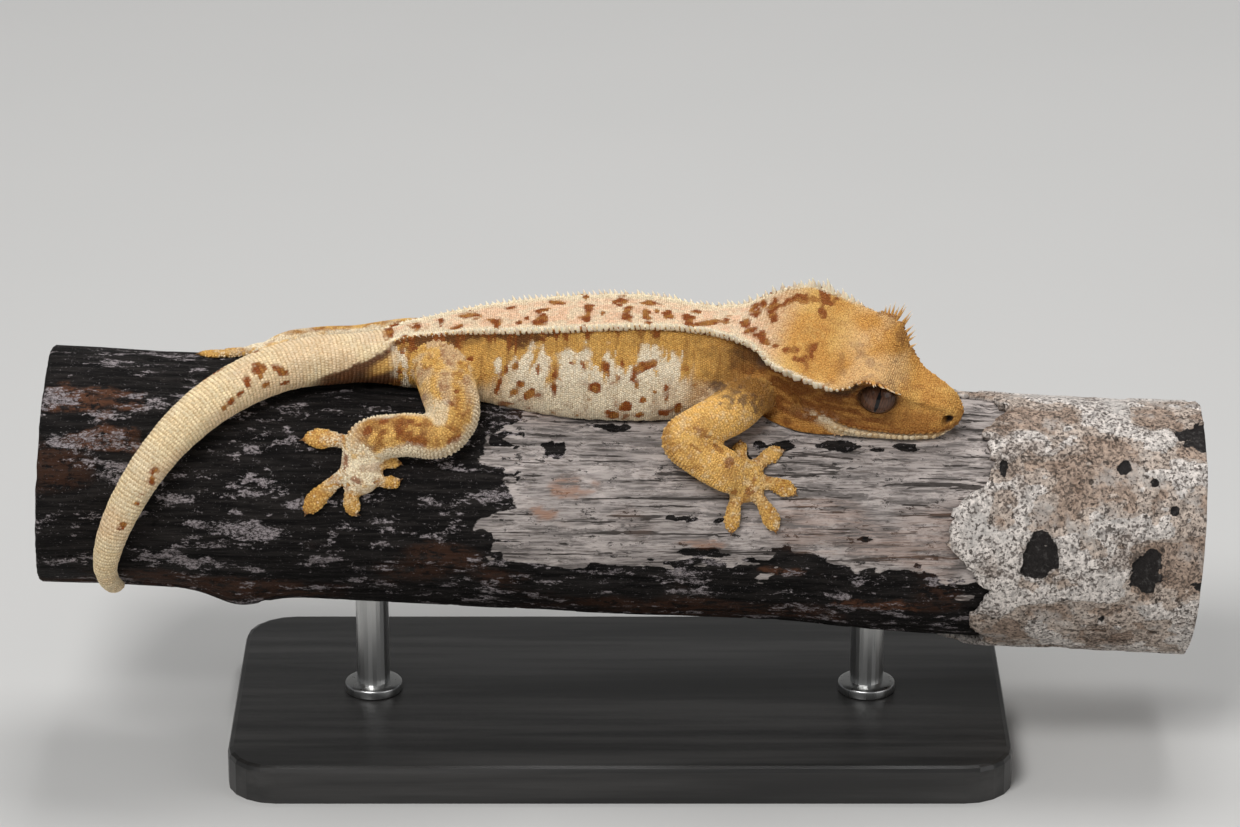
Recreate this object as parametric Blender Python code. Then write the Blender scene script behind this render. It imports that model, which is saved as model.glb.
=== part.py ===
"""A crested gecko lying along a cut branch, life size, on a plain display stand.

Lengths are in millimetres here and become metres where a mesh is made. The animal is posed round
the branch: a place is (along, around, lift), millimetres along the branch's axis towards the head,
degrees from its top towards the animal's right side, and millimetres above its surface.
"""

import math

import bmesh
import bpy
import numpy as np
from mathutils import Matrix, Vector

MM = 0.001
GAP = 0.3

# Perch: a straight branch that slopes down a little towards the animal's head
PERCH_RADIUS = 21.3
PERCH_HALF = 103.0
PERCH_SLOPE = math.radians(3.5)
PERCH_SIDES = 26
PERCH_STEP = 12.5
SWELLS = ((0.30, 0.061, 0.4, 1), (0.22, 0.113, 1.9, 2), (0.14, 0.047, 2.6, 3))
KNOT_ALONG, KNOT_AROUND, KNOT_HEIGHT, KNOT_LENGTH, KNOT_SPREAD = -67.0, 152.0, 2.2, 6.0, 20.0
BARK_START, BARK_THICK, BARK_RAGGED = 62.0, 1.3, 5.5
END_ROUND = 0.8

# Stand: a flat base and two rods
BASE_LENGTH, BASE_DEPTH, BASE_THICK, BASE_CORNER, BASE_EDGE = 140.0, 66.0, 7.0, 9.0, 1.0
ROD_RADIUS, ROD_PLACES, STAND_CLEARANCE = 3.0, {"tail": -45.0, "head": 45.0}, 17.0
AXIS_HEIGHT = BASE_THICK + STAND_CLEARANCE + PERCH_RADIUS

# Head: its own frame has the nose tip at the origin, +X forward, +Y to the animal's left
NOSE = Vector((59.4, -9.9, 24.3))
HEAD_YAW, HEAD_PITCH, HEAD_ROLL = math.radians(-11.6), math.radians(-12.0), math.radians(32.0)
HEAD_LENGTH = 34.0
NOSE_ROUND, NOSE_LEVEL = 4.2, -1.3
EYE_AT, EYE_RADIUS, EYE_SQUASH = (-15.2, 4.5, 2.65), 3.75, (1.0, 0.95, 0.9)
EYE_FACES = Vector((0.16, 0.85, 0.48)).normalized()
LID_RADIUS, LID_THICK, LID_OUT = 3.3, 0.5, 1.6
SOCKET_RADIUS = EYE_RADIUS + GAP + 0.05
MOUTH_HEIGHT, MOUTH_DEPTH = 0.42, 1.0
MOUTH_LINE = ((0.0, -3.0), (3.0, -3.5), (6.0, -3.8), (9.6, -4.0), (15.3, -4.2), (18.2, -4.1), (20.8, -3.6),
              (22.6, -2.9))
NOSTRIL_AT, NOSTRIL_RADIUS = (-2.2, 3.0, -0.5), 0.55
EAR_AT, EAR_HALF, EAR_LEAN = (-28.3, 9.4, -2.2), (0.7, 1.3, 2.3), math.radians(35.0)

# Cross-sections, from the snout back. Each half section runs from the crown over the crest, the
# flank and the low side to the keel:
# crown, crest y z, flare, edge, flank y z, low y z, belly y z, keel
HEAD_SECTIONS = {
    0.0: (1.5, 2.2, 1.0, 0.1, 0.9, 2.8, -0.8, 3.0, -3.0, 2.2, -4.3, -4.5),
    3.0: (2.4, 2.6, 1.8, 0.1, 1.0, 3.6, -0.6, 4.4, -3.6, 3.5, -5.5, -5.8),
    6.0: (3.0, 3.2, 2.6, 0.1, 1.1, 4.6, -0.4, 5.7, -4.1, 4.8, -6.3, -6.7),
    9.6: (3.7, 4.2, 3.7, 0.2, 1.2, 5.7, -0.2, 7.0, -4.4, 5.9, -6.9, -7.4),
    12.6: (5.1, 6.0, 6.2, 0.8, 1.5, 6.3, 0.2, 7.9, -4.8, 6.8, -7.3, -7.9),
    15.3: (6.8, 7.8, 9.7, 1.5, 1.9, 6.8, 0.2, 8.7, -5.1, 7.6, -7.8, -8.4),
    18.2: (7.3, 8.3, 9.3, 1.5, 1.8, 7.3, 0.0, 9.4, -5.5, 8.6, -8.8, -9.6),
    21.0: (7.2, 9.5, 7.2, 1.3, 1.5, 7.9, -0.9, 10.2, -6.2, 10.0, -10.2, -11.1),
    24.8: (7.3, 10.2, 6.9, 1.8, 1.4, 8.3, -1.6, 10.8, -7.2, 11.3, -11.7, -12.7),
    28.4: (7.6, 10.4, 7.3, 2.3, 1.4, 8.4, -2.0, 11.0, -7.8, 11.7, -12.8, -13.8),
    31.0: (7.7, 10.4, 7.6, 2.6, 1.4, 8.3, -2.2, 10.8, -8.1, 11.5, -13.2, -14.3),
    34.0: (7.4, 9.7, 7.3, 2.2, 1.4, 8.2, -2.2, 10.4, -8.2, 10.9, -13.1, -14.3),
}
# along, around, lift, roll towards the animal's right, then the section
BODY_SECTIONS = (
    (21.5, 5.0, 9.0, 5.0, (6.7, 7.5, 6.2, 1.2, 1.3, 8.2, -1.4, 9.4, -6.8, 8.3, -11.8, -12.7)),
    (14.5, 3.0, 8.2, -2.0, (6.6, 6.3, 6.2, 0.6, 1.2, 9.4, -1.0, 9.7, -5.8, 7.6, -10.0, -10.8)),
    (3.6, 2.0, 7.5, 0.0, (7.8, 7.1, 7.5, 0.4, 1.1, 11.2, -1.0, 11.3, -6.6, 8.8, -9.8, -10.4)),
    (-10.8, 2.0, 7.2, 0.0, (7.0, 7.6, 6.6, 0.3, 1.0, 11.3, -1.4, 11.0, -6.8, 8.8, -9.8, -10.4)),
    (-21.6, 1.6, 6.8, 0.0, (6.0, 6.8, 5.5, 0.2, 0.9, 9.8, -1.0, 9.5, -6.0, 7.2, -9.0, -9.6)),
    (-30.0, 1.6, 6.3, 0.0, (5.3, 5.0, 4.6, 0.0, 0.9, 8.3, -0.6, 8.0, -4.8, 6.0, -7.6, -8.2)),
    (-39.0, 3.5, 5.4, 0.0, (4.4, 3.0, 3.9, -0.6, 0.9, 6.2, 0.0, 6.0, -3.4, 4.4, -5.6, -6.2)),
)
# along, around, half width, half height
TAIL_SECTIONS = (
    (-47.0, 8.5, 4.5, 4.4),
    (-53.0, 11.6, 4.4, 4.4),
    (-60.0, 16.6, 4.3, 4.2),
    (-66.6, 25.8, 4.2, 4.0),
    (-72.4, 36.5, 4.0, 3.8),
    (-77.3, 48.0, 3.7, 3.6),
    (-81.3, 59.8, 3.4, 3.3),
    (-84.5, 71.7, 3.15, 3.1),
    (-87.4, 85.8, 2.9, 2.8),
    (-89.6, 102.3, 2.5, 2.4),
    (-90.3, 118.4, 2.0, 2.0),
    (-88.8, 134.0, 1.3, 1.4),
    (-87.6, 139.0, 0.5, 0.6),
)
ELLIPSE_KEYS = (1.0, 0.62, 0.78, -0.25, 0.28, 1.0, 0.0, 0.87, -0.5, 0.5, -0.87, -1.0)
IS_WIDTH = (0, 1, 0, 1, 0, 1, 0, 1, 0, 1, 0, 0)

# Where the trunk is parted, in millimetres behind the nose tip
NECK_END, TORSO_END, TAIL_BASE_END, TAIL_MIDDLE_END = 40.5, 104.0, 131.0, 160.0
TRUNK_PARTS = (
    ("head", 0.0, HEAD_LENGTH, 3, 1.9),
    ("neck", HEAD_LENGTH, NECK_END, 2, 1.9),
    ("torso", NECK_END, TORSO_END, 2, 3.0),
    ("tail_base", TORSO_END, TAIL_BASE_END, 2, 3.4),
    ("tail_middle", TAIL_BASE_END, TAIL_MIDDLE_END, 2, 3.4),
    ("tail_tip", TAIL_MIDDLE_END, None, 2, 3.0),
)

# Limbs: joint places, then half width and half thickness there
LIMBS = {
    "right": {
        "arm": (
            ("upper_arm", "forearm"),
            ((22.0, 17.0, 4.6, 4.3, 4.2), (18.2, 30.5, 5.2, 4.0, 3.9), (12.9, 38.0, 4.9, 3.9, 3.6),
             (9.7, 42.6, 4.1, 3.6, 3.4), (13.8, 49.4, 3.3, 3.7, 3.1), (19.2, 55.2, 2.2, 3.5, 2.2)),
        ),
        "leg": (
            ("thigh", "shin"),
            ((-34.0, 10.0, 5.0, 5.0, 4.4), (-31.6, 28.0, 5.4, 5.0, 4.3), (-30.6, 39.5, 4.6, 4.4, 3.9),
             (-32.2, 46.0, 3.9, 3.9, 3.6), (-39.0, 46.8, 3.3, 3.7, 3.1), (-45.6, 51.0, 2.3, 3.7, 2.3)),
        ),
    },
    "left": {
        "arm": (
            ("upper_arm", "forearm"),
            ((21.0, -13.0, 4.5, 4.3, 4.1), (16.8, -27.0, 5.0, 4.0, 3.8), (12.6, -35.5, 4.8, 3.8, 3.5),
             (11.4, -42.0, 4.0, 3.5, 3.4), (15.5, -49.0, 3.2, 3.6, 3.1), (21.0, -54.5, 2.2, 3.4, 2.2)),
        ),
        "leg": (
            ("thigh", "shin"),
            ((-34.0, -8.0, 4.6, 4.8, 4.2), (-38.5, -21.0, 4.6, 4.7, 3.9), (-43.5, -30.0, 4.4, 4.2, 3.6),
             (-48.5, -33.0, 3.9, 3.9, 3.3), (-56.0, -29.0, 3.2, 3.6, 2.9), (-62.0, -23.5, 2.2, 3.4, 2.2)),
        ),
    },
}
LIMB_PARTED_AT, LIMB_GAP = 0.52, 0.5
LIMB_SIDES, LIMB_RINGS = 12, 7

# Feet, laid out on the bark as if unrolled: (along, down the animal's own side) from the middle of the
# foot, in millimetres, each toe as root, middle, tip and half width, first toe first
HAND_TOES = (((-0.6, -1.6), (-1.1, -4.9), (-1.1, -7.1), 1.25),
             ((0.9, -1.6), (3.7, -4.4), (6.3, -5.9), 1.55),
             ((1.4, 0.0), (5.8, 0.6), (8.9, 1.9), 1.6), ((1.2, 1.4), (4.2, 5.3), (5.8, 8.6), 1.6),
             ((-1.2, 1.4), (-1.9, 5.7), (-2.0, 9.2), 1.5))
FOOT_TOES = (((1.4, -0.6), (4.6, -0.9), (6.6, -0.8), 1.15), ((1.2, 1.8), (4.7, 2.5), (6.8, 2.0), 1.2),
             ((-1.6, 1.8), (-1.6, 6.1), (-0.3, 8.3), 1.5), ((-2.0, 0.8), (-6.9, 5.2), (-9.4, 8.8), 1.8),
             ((-1.6, -3.6), (-6.4, -4.5), (-10.7, -4.1), 1.9))
# node, limb it grows from, middle (along, around), turn in degrees, palm half length and width, toes
FEET = (
    ("hand_right", ("right", "arm"), (21.4, 56.7), 0.0, (3.4, 4.0), HAND_TOES),
    ("hand_left", ("left", "arm"), (23.4, -56.0), -8.0, (3.4, 4.0), HAND_TOES),
    ("foot_right", ("right", "leg"), (-46.0, 60.2), 0.0, (3.8, 5.0), FOOT_TOES),
    ("foot_left", ("left", "leg"), (-64.6, -19.0), 62.0, (3.8, 4.6), FOOT_TOES),
)
# share of the toe's length, share of its half width, half thickness
TOE_SHAPE = ((0.0, 0.8, 1.1), (0.25, 0.7, 0.9), (0.45, 0.85, 0.75), (0.65, 1.0, 0.7), (0.82, 0.82, 0.65),
             (0.95, 0.36, 0.55), (1.0, 0.14, 0.3))
TOE_SIDES = 7
PALM_THICK, PALM_SINK, PALM_SIDES = 2.5, 0.5, 12

# Spines: a row along each crest, longest at the back corner of the head, and lashes over each eye
CREST_FROM, CREST_TO = 18.5, 101.0
SPINE_STEP, SPINE_BASE, SPINE_ROOT = 1.6, 0.5, 0.55
CREST_CORNER, CREST_CORNER_SPREAD = 30.0, 7.0
SPINE_SHORT, SPINE_LONG, SPINE_LEAN = 0.75, 1.75, 0.55
SPINE_VARIES, SPINE_SEED, SPINE_SIDES, BACK_SPINE_SIDES = 0.16, 11, 4, 3
LASH_FROM, LASH_TO, LASH_COUNT, LASH_LENGTH, LASH_BASE = 12.4, 18.4, 8, 2.4, 0.36

# Colours
CREAM = (0.78, 0.66, 0.47)
TAN = (0.56, 0.30, 0.09)
FLANK = (0.66, 0.48, 0.23)
EYE_BROWN = (0.055, 0.035, 0.028)
WOOD = (0.23, 0.20, 0.18)
BARK = (0.42, 0.37, 0.31)
BASE_GREY = (0.05, 0.05, 0.055)
STEEL = (0.6, 0.6, 0.6)


def clear_scene():
    for obj in list(bpy.data.objects):
        bpy.data.objects.remove(obj)


def material(name, colour, roughness, metallic=0.0):
    made = bpy.data.materials.get(name)
    if made is None:
        made = bpy.data.materials.new(name)
        made.use_nodes = True
        shader = made.node_tree.nodes["Principled BSDF"]
        shader.inputs["Base Color"].default_value = (*colour, 1.0)
        shader.inputs["Roughness"].default_value = roughness
        shader.inputs["Metallic"].default_value = metallic
    return made


def to_world():
    """Branch frame, in millimetres, to the world, in metres."""
    tilt = Matrix.Rotation(PERCH_SLOPE, 4, "Y")
    return Matrix.Translation((0, 0, AXIS_HEIGHT * MM)) @ tilt @ Matrix.Scale(MM, 4)


def on_branch(along, around, lift):
    angle = math.radians(around)
    reach = PERCH_RADIUS + lift
    return np.array((along, -reach * math.sin(angle), reach * math.cos(angle)))


def radial(around):
    angle = math.radians(around)
    return np.array((0.0, -math.sin(angle), math.cos(angle)))


def head_axes():
    """The head's forward, left and up directions, as columns."""
    turn = (Matrix.Rotation(HEAD_YAW, 3, "Z") @ Matrix.Rotation(-HEAD_PITCH, 3, "Y")
            @ Matrix.Rotation(HEAD_ROLL, 3, "X"))
    return np.array(turn)


def head_place(x, y, z):
    return np.array(NOSE) + head_axes() @ np.array((x, y, z))


def spline(knots, values, at):
    """Cubic curve through rows of values at rising knots, read at many places."""
    knots, values, at = np.asarray(knots, float), np.asarray(values, float), np.asarray(at, float)
    slopes = np.gradient(values, knots, axis=0)
    index = np.clip(np.searchsorted(knots, at, side="right") - 1, 0, len(knots) - 2)
    width = knots[index + 1] - knots[index]
    t = ((at - knots[index]) / width)[:, None]
    width = width[:, None]
    start, end = values[index], values[index + 1]
    return (start * (1 + 2 * t) * (1 - t) ** 2 + width * slopes[index] * t * (1 - t) ** 2
            + end * t * t * (3 - 2 * t) - width * slopes[index + 1] * t * t * (1 - t))


def unit(vectors):
    return vectors / np.linalg.norm(vectors, axis=-1, keepdims=True)


def ellipse_section(half_width, half_height):
    return tuple(key * (half_width if wide else half_height) for key, wide in zip(ELLIPSE_KEYS, IS_WIDTH))


def trunk_table():
    """Distance behind the nose, centre, forward and up directions and section of every station."""
    head = head_axes()
    rows = [(head_place(-behind, 0, 0), head[:, 2], section) for behind, section in HEAD_SECTIONS.items()]
    head_count = len(rows)
    for along, around, lift, roll, section in BODY_SECTIONS:
        rows.append((on_branch(along, around, lift), radial(around + roll), section))
    for along, around, half_width, half_height in TAIL_SECTIONS:
        place = on_branch(along, around, half_height)
        rows.append((place, radial(around), ellipse_section(half_width, half_height)))
    centres = np.array([row[0] for row in rows])
    steps = np.linalg.norm(np.diff(centres, axis=0), axis=1)
    distance = np.concatenate(([0.0], np.cumsum(steps)))
    forward = -np.gradient(centres[head_count:], distance[head_count:], axis=0)
    forward = np.vstack((np.tile(head[:, 0], (head_count, 1)), unit(forward)))
    ups, sections = (np.array([row[column] for row in rows]) for column in (1, 2))
    return distance, centres, forward, ups, sections


TRUNK = trunk_table()


def trunk_frame(at):
    """Centre, forward, left and up directions and section at distances behind the nose."""
    distance, centres, forwards, ups, sections = TRUNK
    at = np.atleast_1d(np.asarray(at, float))
    forward = unit(spline(distance, forwards, at))
    up = spline(distance, ups, at)
    up = unit(up - forward * (up * forward).sum(1, keepdims=True))
    left = np.cross(up, forward)
    return spline(distance, centres, at), forward, left, up, spline(distance, sections, at)


def half_section(keys):
    """The eight corner points of half a section, from the crown to the keel."""
    crown, crest_y, crest_z, flare, edge, flank_y, flank_z, low_y, low_z, belly_y, belly_z, keel = keys
    return np.array((
        (0.0, crown),
        (0.6 * crest_y, 0.45 * crown + 0.55 * crest_z - 0.02 * crest_y),
        (crest_y, crest_z),
        (crest_y - flare, crest_z - edge),
        (flank_y, flank_z),
        (low_y, low_z),
        (belly_y, belly_z),
        (0.0, keel),
    ))


def closed_curve(corners, per_span):
    """Centripetal Catmull-Rom curve through a closed run of corners."""
    count = len(corners)
    p = [np.roll(corners, shift, axis=0) for shift in (1, 0, -1, -2)]
    knots = [np.zeros(count)]
    for a, b in zip(p, p[1:]):
        knots.append(knots[-1] + np.sqrt(np.linalg.norm(b - a, axis=1)) + 1e-9)
    out = np.empty((count, per_span, 2))
    for i in range(per_span):
        t = knots[1] + (knots[2] - knots[1]) * i / per_span

        def mix(a, b, ka, kb):
            return a + (b - a) * ((t - ka) / (kb - ka))[:, None]

        a1, a2, a3 = (mix(p[j], p[j + 1], knots[j], knots[j + 1]) for j in range(3))
        b1, b2 = mix(a1, a2, knots[0], knots[2]), mix(a2, a3, knots[1], knots[3])
        out[:, i] = mix(b1, b2, knots[1], knots[2])
    return out.reshape(-1, 2)


def side_reach(keys, level):
    """How far out a head section reaches at a height."""
    half = half_section(keys)
    outline = closed_curve(np.vstack((half, half[-2:0:-1] * (-1, 1))), 6)
    return max(y for y, z in outline if abs(z - level) < 0.6)


def nose_rounding(behind):
    depth = np.clip(behind / NOSE_ROUND, 0, 1)
    return np.sqrt(1 - (1 - depth) ** 2)


def trunk_rings(at, per_span, swell=0.0):
    centres, _, lefts, ups, sections = trunk_frame(at)
    rings = []
    for behind, centre, left, up, keys in zip(at, centres, lefts, ups, sections):
        half = half_section(keys)
        corners = np.vstack((half, half[-2:0:-1] * (-1, 1)))
        outline = closed_curve(corners, per_span)
        middle = np.array((0.0, NOSE_LEVEL if behind < NOSE_ROUND else 0.0))
        outline = middle + (outline - middle) * max(nose_rounding(behind), 0.02)
        if swell:
            tangent = np.roll(outline, -1, axis=0) - np.roll(outline, 1, axis=0)
            outward = unit(np.stack((tangent[:, 1], -tangent[:, 0]), axis=1))
            after = np.roll(outline, -1, axis=0)
            area = np.sum(outline[:, 0] * after[:, 1] - outline[:, 1] * after[:, 0])
            outline = outline + outward * swell * math.copysign(1.0, area)
        rings.append(centre + outline[:, :1] * left + outline[:, 1:] * up)
    return rings


def loft(name, rings, start_point=None, end_point=None):
    """One closed mesh object through rings given in the branch frame."""
    mesh = bmesh.new()
    loops = [[mesh.verts.new(point) for point in ring] for ring in rings]
    for a, b in zip(loops, loops[1:]):
        for i in range(len(a)):
            j = (i + 1) % len(a)
            mesh.faces.new((a[i], a[j], b[j], b[i]))
    for ring, tip in ((loops[0], start_point), (loops[-1], end_point)):
        if tip is None:
            mesh.faces.new(ring)
            continue
        point = mesh.verts.new(tip)
        for i in range(len(ring)):
            mesh.faces.new((ring[i], ring[(i + 1) % len(ring)], point))
    bmesh.ops.triangulate(mesh, faces=mesh.faces)
    return finish_mesh(name, mesh)


def finish_mesh(name, mesh, place=None):
    bmesh.ops.recalc_face_normals(mesh, faces=mesh.faces)
    bmesh.ops.transform(mesh, matrix=to_world() if place is None else place, verts=mesh.verts)
    data = bpy.data.meshes.new(name)
    mesh.to_mesh(data)
    mesh.free()
    obj = bpy.data.objects.new(name, data)
    bpy.context.scene.collection.objects.link(obj)
    return obj


def dress(obj, name, colour, roughness, metallic=0.0):
    obj.data.materials.clear()
    obj.data.materials.append(material(name, colour, roughness, metallic))
    obj.data.shade_smooth()
    obj.data.set_sharp_from_angle(angle=math.radians(50))
    return obj


def apply_boolean(obj, operation, others, solver):
    group = bpy.data.collections.new(obj.name + "_pieces")
    bpy.context.scene.collection.children.link(group)
    for other in others:
        group.objects.link(other)
    modifier = obj.modifiers.new(operation.lower(), "BOOLEAN")
    modifier.operation = operation
    modifier.operand_type = "COLLECTION"
    modifier.collection = group
    modifier.solver = solver
    with bpy.context.temp_override(object=obj, active_object=obj):
        bpy.ops.object.modifier_apply(modifier=modifier.name)
    for other in list(group.objects):
        group.objects.unlink(other)
    bpy.data.collections.remove(group)
    keep_largest(obj)


def fuse(obj, pieces, solver="MANIFOLD"):
    apply_boolean(obj, "UNION", pieces, solver)
    for piece in pieces:
        bpy.data.objects.remove(piece)


def cut(obj, cutters, solver="MANIFOLD"):
    apply_boolean(obj, "DIFFERENCE", cutters, solver)


def keep_largest(obj):
    """Leaves only the closed surface that holds the most volume."""
    mesh = bmesh.new()
    mesh.from_mesh(obj.data)
    unseen, best, best_size = set(mesh.verts), set(), -1.0
    while unseen:
        stack, island = [unseen.pop()], set()
        while stack:
            vert = stack.pop()
            island.add(vert)
            for edge in vert.link_edges:
                other = edge.other_vert(vert)
                if other in unseen:
                    unseen.remove(other)
                    stack.append(other)
        corner = np.array([vert.co for vert in island])
        size = float(np.prod(corner.max(0) - corner.min(0) + 1e-9))
        if size > best_size:
            best, best_size = island, size
    bmesh.ops.delete(mesh, geom=[vert for vert in mesh.verts if vert not in best], context="VERTS")
    mesh.to_mesh(obj.data)
    mesh.free()


def perch_radius(along, around):
    """The bare wood's radius, with the branch's slow swells and its one knot."""
    angle = math.radians(around)
    radius = PERCH_RADIUS
    for height, rate, phase, lobes in SWELLS:
        radius += height * math.sin(rate * along + phase) * math.cos(lobes * angle + phase)
    apart = (around - KNOT_AROUND + 180.0) % 360.0 - 180.0
    near = ((along - KNOT_ALONG) / KNOT_LENGTH) ** 2 + (apart / KNOT_SPREAD) ** 2
    return radius + KNOT_HEIGHT * math.exp(-near)


def bark_edge(around):
    """Where the bark that is left on the branch begins, a ragged line round it."""
    angle = math.radians(around)
    return BARK_START + BARK_RAGGED * (0.6 * math.sin(3 * angle + 0.8) + 0.4 * math.sin(7 * angle + 2.0))


def perch_ring(along, extra):
    ring = []
    for i in range(PERCH_SIDES):
        around = 360.0 * i / PERCH_SIDES
        reach = perch_radius(along, around) + extra
        ring.append(np.array((along, *(reach * radial(around))[1:])))
    return ring


def perch_solid(name, extra, reach=0.0):
    """The branch, grown all over by extra and longer at both ends by reach."""
    half = PERCH_HALF + reach
    inner = np.arange(-half + PERCH_STEP / 2, half - 1.0, PERCH_STEP)
    places = [-half + END_ROUND, *inner, half - END_ROUND]
    rings = [perch_ring(-half, extra - END_ROUND)]
    rings += [perch_ring(place, extra) for place in places]
    rings.append(perch_ring(half, extra - END_ROUND))
    return loft(name, rings)


def bark_solid(name, inner, outer, reach=0.0):
    """A sleeve of bark on the head end of the branch, ragged at its edge."""
    shares = (0.0, 0.06, 0.2, 0.4, 0.6, 0.8, 1.0)
    mesh = bmesh.new()
    walls = []
    for depth, thin in ((inner, 0.0), (outer, 1.0)):
        wall = []
        for share in shares:
            ring = []
            for i in range(PERCH_SIDES):
                around = 360.0 * i / PERCH_SIDES
                start = bark_edge(around) - reach
                along = start + (PERCH_HALF + reach - start) * share
                worn = 0.5 * thin * (1.0 - min(share / 0.2, 1.0)) * (outer - inner)
                size = perch_radius(min(along, PERCH_HALF), around) + depth - worn
                ring.append(mesh.verts.new((along, *(size * radial(around))[1:])))
            wall.append(ring)
        walls.append(wall)
    for wall in walls:
        for a, b in zip(wall, wall[1:]):
            join_rings(mesh, a, b)
    join_rings(mesh, walls[0][0], walls[1][0])
    join_rings(mesh, walls[0][-1], walls[1][-1])
    bmesh.ops.triangulate(mesh, faces=mesh.faces)
    return finish_mesh(name, mesh)


def join_rings(mesh, a, b):
    for i in range(len(a)):
        j = (i + 1) % len(a)
        mesh.faces.new((a[i], a[j], b[j], b[i]))


def tube_rings(places, sides, count, start=0.0, end=1.0, normals=None):
    """Rings of an oval tube through rows of place, half width and half thickness."""
    points = np.array([place[:3] for place in places], float)
    halves = np.array([place[3:5] for place in places], float)
    ups = np.array(normals, float)
    steps = np.linalg.norm(np.diff(points, axis=0), axis=1)
    knots = np.concatenate(([0.0], np.cumsum(steps)))
    at = knots[-1] * np.linspace(start, end, count)
    nudge = 0.02 * knots[-1]
    centre = spline(knots, points, at)
    forward = unit(spline(knots, points, np.clip(at + nudge, 0, knots[-1]))
                   - spline(knots, points, np.clip(at - nudge, 0, knots[-1])))
    up = spline(knots, ups, at)
    up = unit(up - forward * (up * forward).sum(1, keepdims=True))
    side = np.cross(up, forward)
    half = spline(knots, halves, at)
    turn = np.linspace(0, 2 * math.pi, sides, endpoint=False)
    return [c + np.outer(np.cos(turn), s * h[0]) + np.outer(np.sin(turn), u * h[1])
            for c, s, u, h in zip(centre, side, up, half)], knots[-1]


def limb_path(joints):
    places = [(*on_branch(along, around, lift), wide, thick) for along, around, lift, wide, thick in joints]
    return places, [radial(joint[1]) for joint in joints]


def limb_piece(name, joints, start, end, extra=0.0):
    places, ups = limb_path(joints)
    places = [(*place[:3], place[3] + extra, place[4] + extra) for place in places]
    rings, _ = tube_rings(places, LIMB_SIDES, LIMB_RINGS, start, end, ups)
    return loft(name, rings)


def unrolled(middle, offset, lift):
    """A place on the bark, offset from a foot's middle along the branch and down the near side."""
    down = math.degrees(offset[1] / PERCH_RADIUS)
    return on_branch(middle[0] + offset[0], middle[1] + down, lift)


def turned(offset, degrees, side):
    """An offset turned in the foot's plane, with positive down the animal's own side."""
    c, s = math.cos(math.radians(degrees)), math.sin(math.radians(degrees))
    along, down = offset[0] * c - offset[1] * s, offset[0] * s + offset[1] * c
    return along, down * side


def toe_piece(name, middle, toe, toe_side, turn):
    root, bend, tip = (np.array(turned(point, turn, toe_side)) for point in toe[:3])
    control = 2 * bend - (root + tip) / 2
    rows, ups = [], []
    for share, wide, thick in TOE_SHAPE:
        offset = (1 - share) ** 2 * root + 2 * share * (1 - share) * control + share ** 2 * tip
        place = unrolled(middle, offset, thick * 0.75)
        rows.append((*place, wide * toe[3], thick))
        ups.append(radial(middle[1] + math.degrees(offset[1] / PERCH_RADIUS)))
    rings, _ = tube_rings(rows, TOE_SIDES, len(TOE_SHAPE), 0.0, 1.0, ups)
    return loft(name, rings)


def palm_piece(name, middle, halves, toe_side, turn):
    """A low dome of flesh that lies on the bark, its underside sunk into it."""
    profile = ((0.45, PALM_THICK * 0.95), (0.8, PALM_THICK * 0.7), (1.0, PALM_THICK * 0.25),
               (0.9, -PALM_SINK))
    rings = []
    for share, lift in profile:
        ring = []
        for angle in np.linspace(0, 2 * math.pi, PALM_SIDES, endpoint=False):
            offset = (share * halves[0] * math.cos(angle), share * halves[1] * math.sin(angle))
            ring.append(unrolled(middle, turned(offset, turn, toe_side), lift))
        rings.append(ring)
    return loft(name, rings, unrolled(middle, (0, 0), PALM_THICK), unrolled(middle, (0, 0), -PALM_SINK))


def foot_node(node, joints, middle, turn, halves, toes):
    """Palm, wrist and toes as one closed body, with room left for the limb's end."""
    toe_side = 1 if middle[1] > 0 else -1
    foot = palm_piece(node, middle, halves, toe_side, turn)
    places, ups = limb_path(joints)
    end = np.array(places[-1])
    halfway = 0.5 * end[:3] + 0.5 * unrolled(middle, (0, 0), 1.2)
    wrist = [tuple(end), (*halfway, end[3] * 0.96, end[4] * 0.8),
             (*unrolled(middle, (0, 0), 0.9), end[3] * 0.7, 1.2)]
    rings, _ = tube_rings(wrist, 12, 4, 0.0, 1.0, [ups[-1], radial(middle[1]), radial(middle[1])])
    pieces = [loft(f"{node}_wrist", rings)]
    pieces += [toe_piece(f"{node}_toe", middle, toe, toe_side, turn) for toe in toes]
    fuse(foot, pieces)
    whole_limb = limb_piece("whole_limb", joints, 0.0, 1.0, GAP)
    cut(foot, [whole_limb])
    bpy.data.objects.remove(whole_limb)
    return foot


def crest_point(behind, side):
    """A point on the crest's edge, and the directions out and up there."""
    centre, _, left, up, keys = (row[0] for row in trunk_frame([behind]))
    place = centre + side * keys[1] * left + keys[2] * up
    return place, side * left, up


def spine(place, direction, length, base, sides=SPINE_SIDES):
    direction = unit(np.asarray(direction, float))
    across = unit(np.cross(direction, (0.37, 0.11, 0.93)))
    other = np.cross(direction, across)
    root = place - SPINE_ROOT * direction
    ring = [root + base * (math.cos(a) * across + math.sin(a) * other)
            for a in np.linspace(0, 2 * math.pi, sides, endpoint=False)]
    return cone(ring, place + length * direction)


def cone(ring, tip):
    mesh = bmesh.new()
    base = [mesh.verts.new(point) for point in ring]
    point = mesh.verts.new(tip)
    for i in range(len(base)):
        mesh.faces.new((base[i], base[(i + 1) % len(base)], point))
    mesh.faces.new(base)
    bmesh.ops.triangulate(mesh, faces=mesh.faces)
    return finish_mesh("spine", mesh)


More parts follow.
